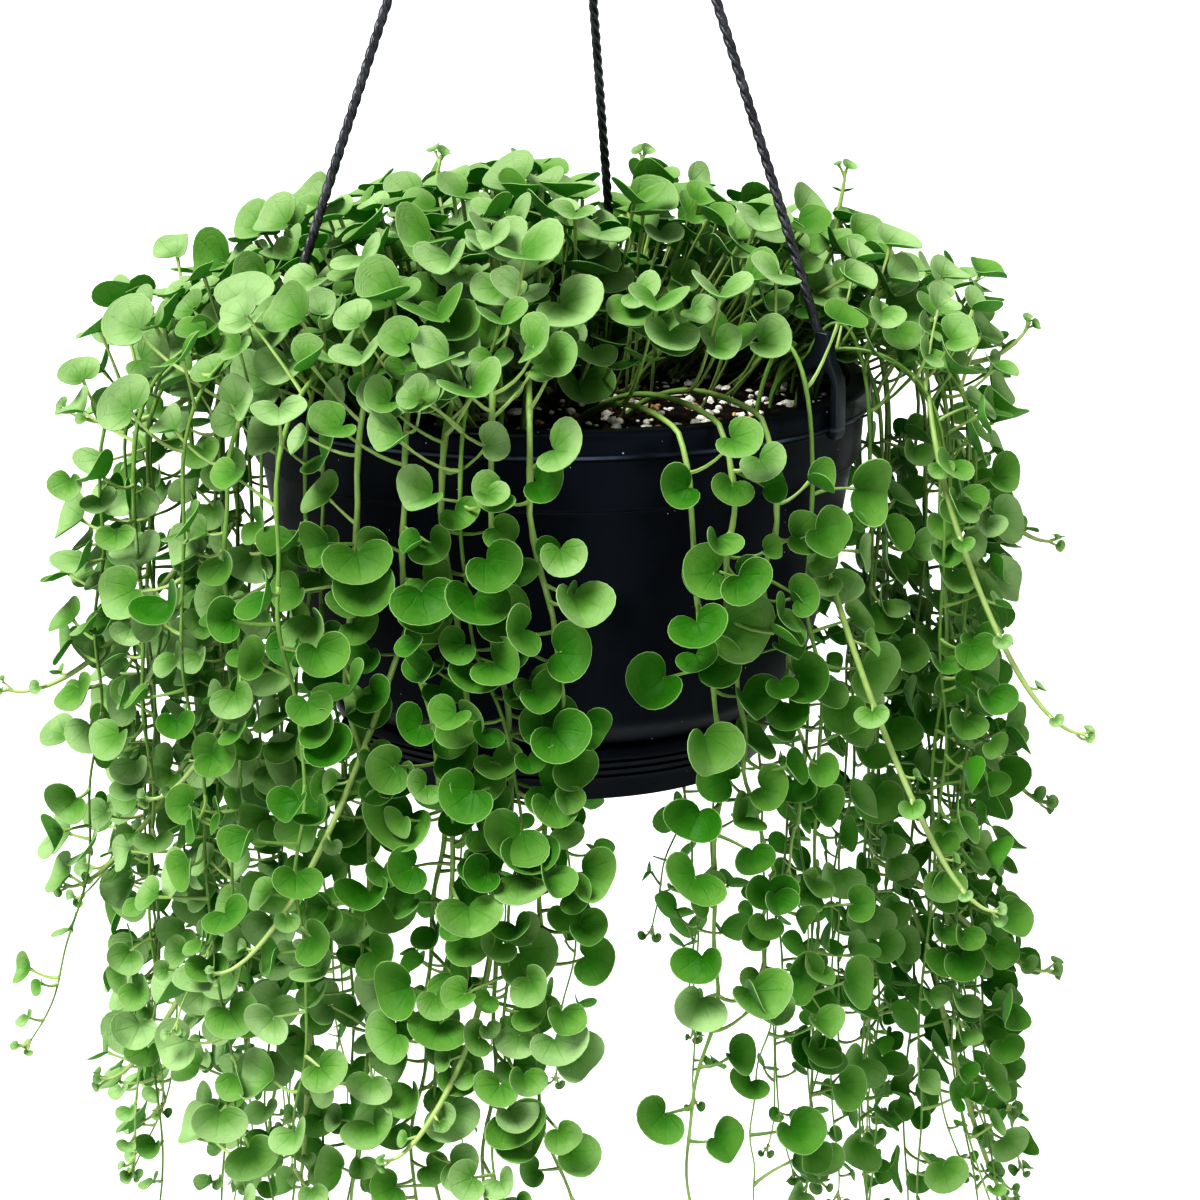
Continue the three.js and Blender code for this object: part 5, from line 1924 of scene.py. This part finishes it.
@dataclass
class Foliage:
    """Turns placed stems and leaves into meshes, one for each leafy stem."""

    leaf_finish: Finish
    stem_finish: Finish
    growth: Growth
    bold_stems: range = range(29, 37)
    blades: tuple[Blade, ...] = (
        Blade(0.52, 0.05, 0.10, 0.0, 0.4),
        Blade(0.40, 0.12, -0.12, 0.3, 1.9),
        Blade(0.70, 0.0, 0.15, 0.0, 3.1),
        Blade(0.45, 0.30, 0.08, -0.2, 4.4),
        Blade(0.30, 0.05, 0.16, 0.15, 5.3),
        Blade(0.60, 0.45, -0.10, 0.3, 2.5),
        Blade(0.38, -0.05, 0.20, -0.4, 0.9),
        Blade(0.80, 0.20, 0.10, 0.15, 1.3),
        Blade(0.35, 0.62, 0.12, 0.2, 3.7),
        Blade(0.55, 0.0, 0.30, -0.25, 2.2),
    )
    shoots: tuple[Shoot, ...] = (
        Shoot((-70, -138, -112), (-127, -142, -200)),
        Shoot((-26, -150, -208), (-64, -158, -268)),
        Shoot((110, -124, -82), (163, -128, -182)),
        Shoot((143, -90, -30), (200, -90, -124)),
        Shoot((-112, -95, -85), (-156, -92, -148)),
        Shoot((-160, -20, -84), (-221, -22, -124)),
        Shoot((-150, -10, -12), (-194, -12, -12)),
        Shoot((-150, -30, -150), (-199, -34, -203)),
        Shoot((-146, -40, -232), (-185, -44, -282)),
        Shoot((158, 20, -4), (190, 18, 15)),
        Shoot((166, 10, -40), (201, 8, -71)),
        Shoot((166, 0, -128), (200, -2, -179)),
        Shoot((160, -30, -210), (200, -34, -241)),
        Shoot((158, -20, -252), (188, -24, -346)),
        Shoot((-62, 40, 40), (-47, 42, 81)),
        Shoot((30, 62, 44), (35, 62, 79)),
        Shoot((110, 30, 44), (116, 28, 77)),
        Shoot((-95, -100, -220), (-100, -118, -292)),
    )
    patterns: list[Shape] = field(default_factory=list)

    def _petiole(self, weave: Weave, leaf: Leaf, key: int) -> None:
        """Adds the slim bowed stalk from the stem to the blade's notch."""
        foot, notch = np.array(leaf.foot), np.array(leaf.notch)
        facing, pointing = np.array(leaf.facing), np.array(leaf.pointing)
        length = float(np.linalg.norm(notch - foot))
        bow = 0.16 * length * (0.6 + 0.8 * draw(key, 61))
        lift = np.array([0, 0, length * mix(-0.3, 0.12, draw(key, 62))])
        knee = foot + (notch - foot) * 0.5 - facing * bow + lift
        end = notch + pointing * 0.05 * leaf.width - facing * 0.3
        rings = 6 if length < 34 else 9
        t = np.linspace(0, 1, rings)[:, None]
        route = (1 - t) ** 2 * foot + 2 * t * (1 - t) * knee + t * t * end
        slim = mix(0.62, 0.82, clamp(leaf.width / 24))
        radii = slim * np.interp(t[:, 0], [0, 0.8, 1], [1.12, 0.7, 1.15])
        # The petiole follows its blade's look of age, painted shade included.
        ages = np.full(rings, clamp(0.08 + 0.55 * leaf.age + 0.15 * swing(key, 63)))
        weave.tube(route, radii, 5, ages)

    def _leaf(self, weave: Weave, leaf: Leaf, key: int) -> None:
        """Adds a leaf: a copy of one of the modelled blades, and its petiole."""
        self._petiole(weave, leaf, key)
        pattern = self.patterns[int(draw(key, 64) * len(self.patterns))]
        across = np.cross(leaf.pointing, leaf.facing)
        axes = np.array([across * mix(0.92, 1.12, draw(key, 65)), leaf.pointing, leaf.facing])
        stretch = np.array([1.0, mix(0.82, 1.04, draw(key, 66)), 1.0])
        body = np.array(leaf.notch) + (pattern.points * stretch * leaf.width) @ axes
        tints = pattern.tints.copy()
        # The blade's tint carries how old it looks together with its painted shade.
        tints[:, 0] = leaf.age
        tints[:, 1] = draw(key, 67)
        weave.add(replace(pattern, points=body, tints=tints), weave.BLADE)

    def _stem(self, weave: Weave, stem: Stem, feet: Sequence[Point]) -> None:
        """Adds a stem with a small swelling at each leaf's foot.

        Args:
            weave: The mesh.
            stem: The stem.
            feet: Where its leaves leave it.
        """
        arch = np.linspace(0.0, 1.0, 22)
        hanging = np.linspace(1.0, stem.last, max(24, int(stem.drop * (stem.last - 1) / 5)))[1:]
        shares = np.concatenate([[0.0], arch, hanging])
        shares = shares[shares >= stem.first]
        route = np.array([stem.fine(float(u)) for u in shares])
        if stem.first == 0:
            route[0] -= np.array([0.0, 0.0, 8.0])
        bold = 1.0 if stem.index in self.bold_stems else mix(0.6, 0.8, draw(stem.index, 10))
        radii = bold * np.interp(shares, [0.0, 1.0, 1.5, 2.0], [1.2, 1.1, 0.8, 0.5])
        if feet:
            gaps = np.min(np.linalg.norm(route[:, None] - np.array(feet)[None], axis=2), axis=1)
            radii = radii * (1 + 0.28 * np.exp(-((gaps / 2.6) ** 2)))
        ages = np.interp(shares, [0.0, 0.9, 1.7, 2.0], [0.5, 0.3, 0.45, 0.12]) + 0.8 * (1 - bold)
        weave.tube(route, radii, 7, np.clip(ages, 0, 1))

    def _tip(self, weave: Weave, end: np.ndarray, way: np.ndarray, key: int) -> None:
        """Adds the tiny folded leaves at a growing tip."""
        side = np.cross(way, (0.0, 0.0, 1.0)) + 1e-6
        side /= np.linalg.norm(side)
        for k in range(3):
            turn = 2.1 * k + 6 * draw(key, 68)
            direction = unit(tuple(way * 1.5 + side * math.sin(turn) + np.cross(side, way) * math.cos(turn)))
            foot = tuple(end - way * (1.2 * k))
            normal = blend((direction, 0.8), (tuple(way), -0.5), (UP, 0.5), (FRONT, 0.3))
            width = mix(3.4, 6.5, draw(key, 69, k))
            leaf = Leaf.grown(foot, direction, 2.0 + 1.8 * k, normal, direction, width)
            leaf.age = 0.12
            self._leaf(weave, leaf, key + 13 * k)

    def _finish(self, weave: Weave, name: str, node: str | None) -> Piece:
        """Makes a leafy piece of a mesh and seats it."""
        return seat(weave.build(name, [self.leaf_finish, self.stem_finish]), Slot.LEAF, node)

    def spray(self, stem: Stem, name: str, node: str | None) -> Piece:
        """Builds one leafy stem.

        Args:
            stem: The stem.
            name: The piece's name.
            node: The node it stands for, if any.

        Returns:
            The piece.
        """
        weave = Weave()
        leaves = self.growth.sprays.get(stem.index, [])
        self._stem(weave, stem, [leaf.foot for leaf in leaves])
        for k, leaf in enumerate(leaves):
            self._leaf(weave, leaf, leaf.key or stem.index * 41 + k)
        end = np.array(stem.fine(stem.last))
        way = end - np.array(stem.fine(stem.last - 0.03))
        self._tip(weave, end, way / np.linalg.norm(way), stem.index + TIP_KEYS)
        return self._finish(weave, name, node)

    def mound(self) -> Piece:
        """Builds the crown: all leaves that stand on petioles from the mix."""
        weave = Weave()
        for k, leaf in enumerate(self.growth.crown):
            self._leaf(weave, leaf, leaf.key or CROWN_KEYS + k)
        return self._finish(weave, "crown_mound", "crown")

    def shoot(self, number: int, shoot: Shoot, joints: np.ndarray) -> Piece:
        """Builds one bare shoot: it bows down and out and curls up at its end.

        Args:
            number: The shoot's number.
            shoot: Where it starts and ends.
            joints: Points of the stems that it may branch from.

        Returns:
            The piece.
        """
        start, end = np.array(shoot.start, float), np.array(shoot.end, float)
        reach = float(np.linalg.norm(end - start))
        out = end - start
        level = np.array([out[0], out[1], 0.0])
        down = np.array([0, 0, -1])
        first = start + out * 0.35 + down * shoot.sag * reach * 0.4 - level * 0.12
        second = start + out * 0.72 + down * shoot.sag * reach
        root = start * (0.88, 0.84, 1.0) - down * 0.34 * reach
        if start[2] < 20:
            root = joints[np.argmin(np.linalg.norm(joints - root, axis=1))]
        t = np.linspace(0, 1, 40)[:, None]
        b = (1 - t) ** 4 * root + 4 * t * (1 - t) ** 3 * start + 6 * t**2 * (1 - t) ** 2 * first
        route = b + 4 * t**3 * (1 - t) * second + t**4 * end
        route += np.sin(t * 9 + number) * (1 - t) * t * np.array([0.8, 0.8, 1.6])
        weave = Weave()
        radii = np.interp(t[:, 0], [0, 0.15, 0.7, 1], [1.0, 1.25, 1.1, 0.6])
        weave.tube(route, radii, 7, np.interp(t[:, 0], [0, 1], [0.3, 0.02]))
        leaves = 3 + int(reach / 24)
        for k in range(leaves):
            share = mix(0.12, 0.9, (k + 0.6 * draw(number, k, 73)) / leaves)
            i = int(share * 39)
            way = route[i + 1] - route[i]
            azimuth = math.atan2(route[i][1], route[i][0]) + (1.2 if k % 2 else -1.2)
            onward = tuple(way / np.linalg.norm(way))
            direction = unit(blend((outward(azimuth), 0.9), (onward, 0.7), (UP, 0.35)))
            normal = blend((outward(azimuth), 0.5), (FRONT, 0.4), (UP, 0.7), (direction, 0.3))
            width = mix(13.0, 5.5, share) * mix(0.8, 1.25, draw(number, k, 74))
            leaf = Leaf.grown(tuple(route[i]), direction, mix(7, 4, share), normal, direction, width)
            leaf.age = 0.35 * (1 - share) + 0.1
            self._leaf(weave, leaf, SHOOT_KEYS + 10 * number + k)
        way = route[-1] - route[-3]
        self._tip(weave, route[-1], way / np.linalg.norm(way), SHOOT_TIP_KEYS + number)
        return self._finish(weave, f"loose_shoot_{number:02d}", None)

    def build(self) -> Iterator[Piece]:
        """Builds the crown, the leafy stems and the loose shoots."""
        self.patterns = [blade.model() for blade in self.blades]
        yield self.mound()
        for stem in self.growth.stems:
            number = f"{stem.index + 1:02d}"
            yield self.spray(stem, f"leafy_stem_{number}", f"stem_{number}")
        for k, stem in enumerate(self.growth.filler_stems):
            yield self.spray(stem, f"filler_stem_{k + 1:02d}", None)
        stems = [*self.growth.stems, *self.growth.filler_stems]
        shares = [float(u) for u in np.linspace(0.8, 1.9, 60)]
        joints = np.array([stem.fine(u) for stem in stems for u in shares if u > stem.first])
        for k, shoot in enumerate(self.shoots):
            yield self.shoot(k + 1, shoot, joints)


@dataclass
class Bed:
    """The potting mix with its perlite, pebbles and bark."""

    finish: Finish
    radius: float = 114.2
    rings: int = 40
    sunk: float = 1.2
    relief: float = 2.8
    grains: tuple[tuple[Granule, int, float, float], ...] = (
        (Granule("perlite", tone(228, 226, 218), tone(196, 190, 178)), 590, 0.9, 2.8),
        (Granule("tan_pebbles", tone(190, 160, 116), tone(124, 94, 60)), 120, 1.1, 2.8),
        (Granule("bark_chips", tone(92, 58, 38), tone(42, 26, 17), 700.0), 80, 1.4, 3.6),
    )

    def surface(self, x: float, y: float) -> float:
        """The mix's height at a place, in millimetres."""
        coarse = noise.noise(Vector((x * 0.045, y * 0.045, 0.0)))
        fine = noise.noise(Vector((x * 0.19, y * 0.19, 3.0)))
        rim = smooth((math.hypot(x, y) - 96) / 18)
        return MIX_TOP - self.sunk + self.relief * (coarse + 0.65 * fine) * (1 - 0.6 * rim)

    def mix_body(self) -> Piece:
        """The mix: it fills the pot, with a crumbly top."""
        sides = [(85, -125.4), (94.3, -119), (101.3, -100), (110.4, -62), (113.6, -31)]
        piece = Bench.turned("mix_bed", [*sides, (self.radius, MIX_TOP - self.sunk)], 120)
        top_from = (MIX_TOP - 1.5 - HANG_HEIGHT) * MM
        with Bench.editing(piece):
            Bench.pick(piece, lambda centre, normal: centre.z > top_from)
            for ring in range(self.rings):
                bpy.ops.mesh.inset(thickness=self.radius * MM / (self.rings + 0.6))

        def crumbled(points: np.ndarray) -> np.ndarray:
            """Raises and lowers the top by the mix's relief."""
            made = points.copy()
            for i in np.flatnonzero(made[:, 2] > top_from):
                made[i, 2] = (self.surface(made[i, 0] / MM, made[i, 1] / MM) - HANG_HEIGHT) * MM
            return made

        Bench.reshape(piece, crumbled)
        Bench.settle(piece, 70.0)
        piece.data.materials.append(self.finish)
        return seat(piece, Slot.MIX, "potting_mix")

    def scatter(self, number: int, grain: Granule, count: int, small: float, large: float) -> Piece:
        """Scatters one kind of granule over the mix, each pressed in by about a third.

        Args:
            number: The kind's number, a random key.
            grain: Its finish.
            count: How many there are.
            small: The least radius.
            large: The largest radius.

        Returns:
            The piece.
        """
        ball = Bench.start("grain", bpy.ops.mesh.primitive_ico_sphere_add, subdivisions=2, radius=1.0)
        points = Bench.points(ball)
        loops, sizes = Bench.faces(ball)
        bpy.data.objects.remove(ball)
        spans = ((0.8, 1.5), (0.7, 1.1), (0.5, 0.9))
        weave = Weave()
        for k in range(count):
            own = Vector((k * 3.1, number, 0))
            lumps = np.array([1 + 0.42 * noise.noise(Vector(p) * 1.4 + own) for p in points])
            stretch = np.array([mix(*span, draw(number, k, 81 + axis)) for axis, span in enumerate(spans)])
            turn = 2 * math.pi * draw(number, k, 84)
            size = mix(small, large, draw(number, k, 85) ** 2)
            out = (self.radius - 4.5) * math.sqrt(draw(number, k, 86))
            x, y, _ = polar(out, 2 * math.pi * draw(number, k, 87), 0.0)
            spot = (x, y, self.surface(x, y) + 0.25 * size)
            body = (points * lumps[:, None] * stretch * size) @ spin(turn) + spot
            weave.add(Shape.plain(body, loops, sizes), 0)
        return seat(weave.build(grain.name, [grain.build()], 38.0), Slot.MIX, None)

    def build(self) -> Iterator[Piece]:
        """Builds the mix and everything scattered on it."""
        yield self.mix_body()
        for number, (grain, count, small, large) in enumerate(self.grains):
            yield self.scatter(number, grain, count, small, large)


@dataclass
class Studio:
    """The plain pale floor, the soft light and the camera."""

    floor_height: float = -2.3
    floor_size: float = 90.0
    camera_place: Point = (0.0, -1.280, -0.133)
    camera_elevation: float = -14.05
    camera_yaw: float = 0.76
    lens: float = 97.56
    sky: float = 0.46
    key_strength: float = 4.6

    def floor(self) -> None:
        """Lays the floor."""
        middle = (0.0, 0.0, self.floor_height)
        floor = Bench.start(
            "pale_floor", bpy.ops.mesh.primitive_plane_add, size=self.floor_size, location=middle
        )
        bpy.ops.object.transform_apply(location=True)
        floor.data.materials.append(FloorPaint().build())

    def lights(self) -> None:
        """Sets a wide soft key from the upper left, a weak fill from the right, and an even sky."""
        world = bpy.data.worlds.new("studio")
        bpy.context.scene.world = world
        world.use_nodes = True
        sky = world.node_tree.nodes["Background"].inputs
        sky["Color"].default_value = (1.0, 1.0, 1.0, 1.0)
        sky["Strength"].default_value = self.sky
        for name, strength, angle, towards in (
            ("key", self.key_strength, 26.0, (0.46, 0.44, -1.0)),
            ("fill", 0.35, 50.0, (-0.8, 0.7, -0.5)),
        ):
            lamp = bpy.data.lights.new(name, "SUN")
            lamp.energy = strength
            lamp.angle = angle * DEGREE
            light = bpy.data.objects.new(name, lamp)
            light.rotation_mode = "QUATERNION"
            light.rotation_quaternion = Vector(towards).to_track_quat("-Z", "Y")
            bpy.context.collection.objects.link(light)

    def camera(self) -> None:
        """Sets the camera where the photograph was taken from."""
        data = bpy.data.cameras.new("view")
        data.lens = self.lens
        data.sensor_width = 36.0
        data.clip_end = 200.0
        camera = bpy.data.objects.new("view", data)
        camera.location = self.camera_place
        camera.rotation_euler = ((90 + self.camera_elevation) * DEGREE, 0.0, -self.camera_yaw * DEGREE)
        bpy.context.collection.objects.link(camera)
        bpy.context.scene.camera = camera
        bpy.context.scene.view_settings.view_transform = "Standard"
        bpy.context.scene.view_settings.look = "High Contrast"

    def build(self) -> None:
        """Builds the stage."""
        self.camera()
        self.floor()
        self.lights()


def main() -> None:
    """Builds the scene in order and logs the triangles of each piece."""
    logging.basicConfig(level=logging.INFO, format="%(name)s %(message)s")
    Studio().build()
    # The clips get a lighter, glossier copy of the pot's plastic: the gloss is real, and the lighter tones
    # are a painted highlight for the light on the clips' edges.
    clip_plastic_painted_highlight = PotPlastic("clip_plastic_painted_highlight", tone(20, 24, 31), tone(40, 47, 58), 0.6)
    holder = Holder(PotPlastic().build(), clip_plastic_painted_highlight.build(), CordPlastic().build())
    growth = Growth()
    growth.place_source()
    growth.fill()
    bed = Bed(MixEarth().build())
    foliage = Foliage(LeafSkin().build(), StemSkin().build(), growth)
    total = 0
    for assembly in (holder, bed, foliage):
        for piece in assembly.build():
            faces = sum(len(face.vertices) - 2 for face in piece.data.polygons)
            total += faces
            LOG.info("%s: %d triangles", piece.name, faces)
    leaves = sum(len(spray) for spray in growth.sprays.values()) + len(growth.crown)
    LOG.info("%d leaves, %d triangles in all", leaves, total)


if __name__ == "__main__":
    main()
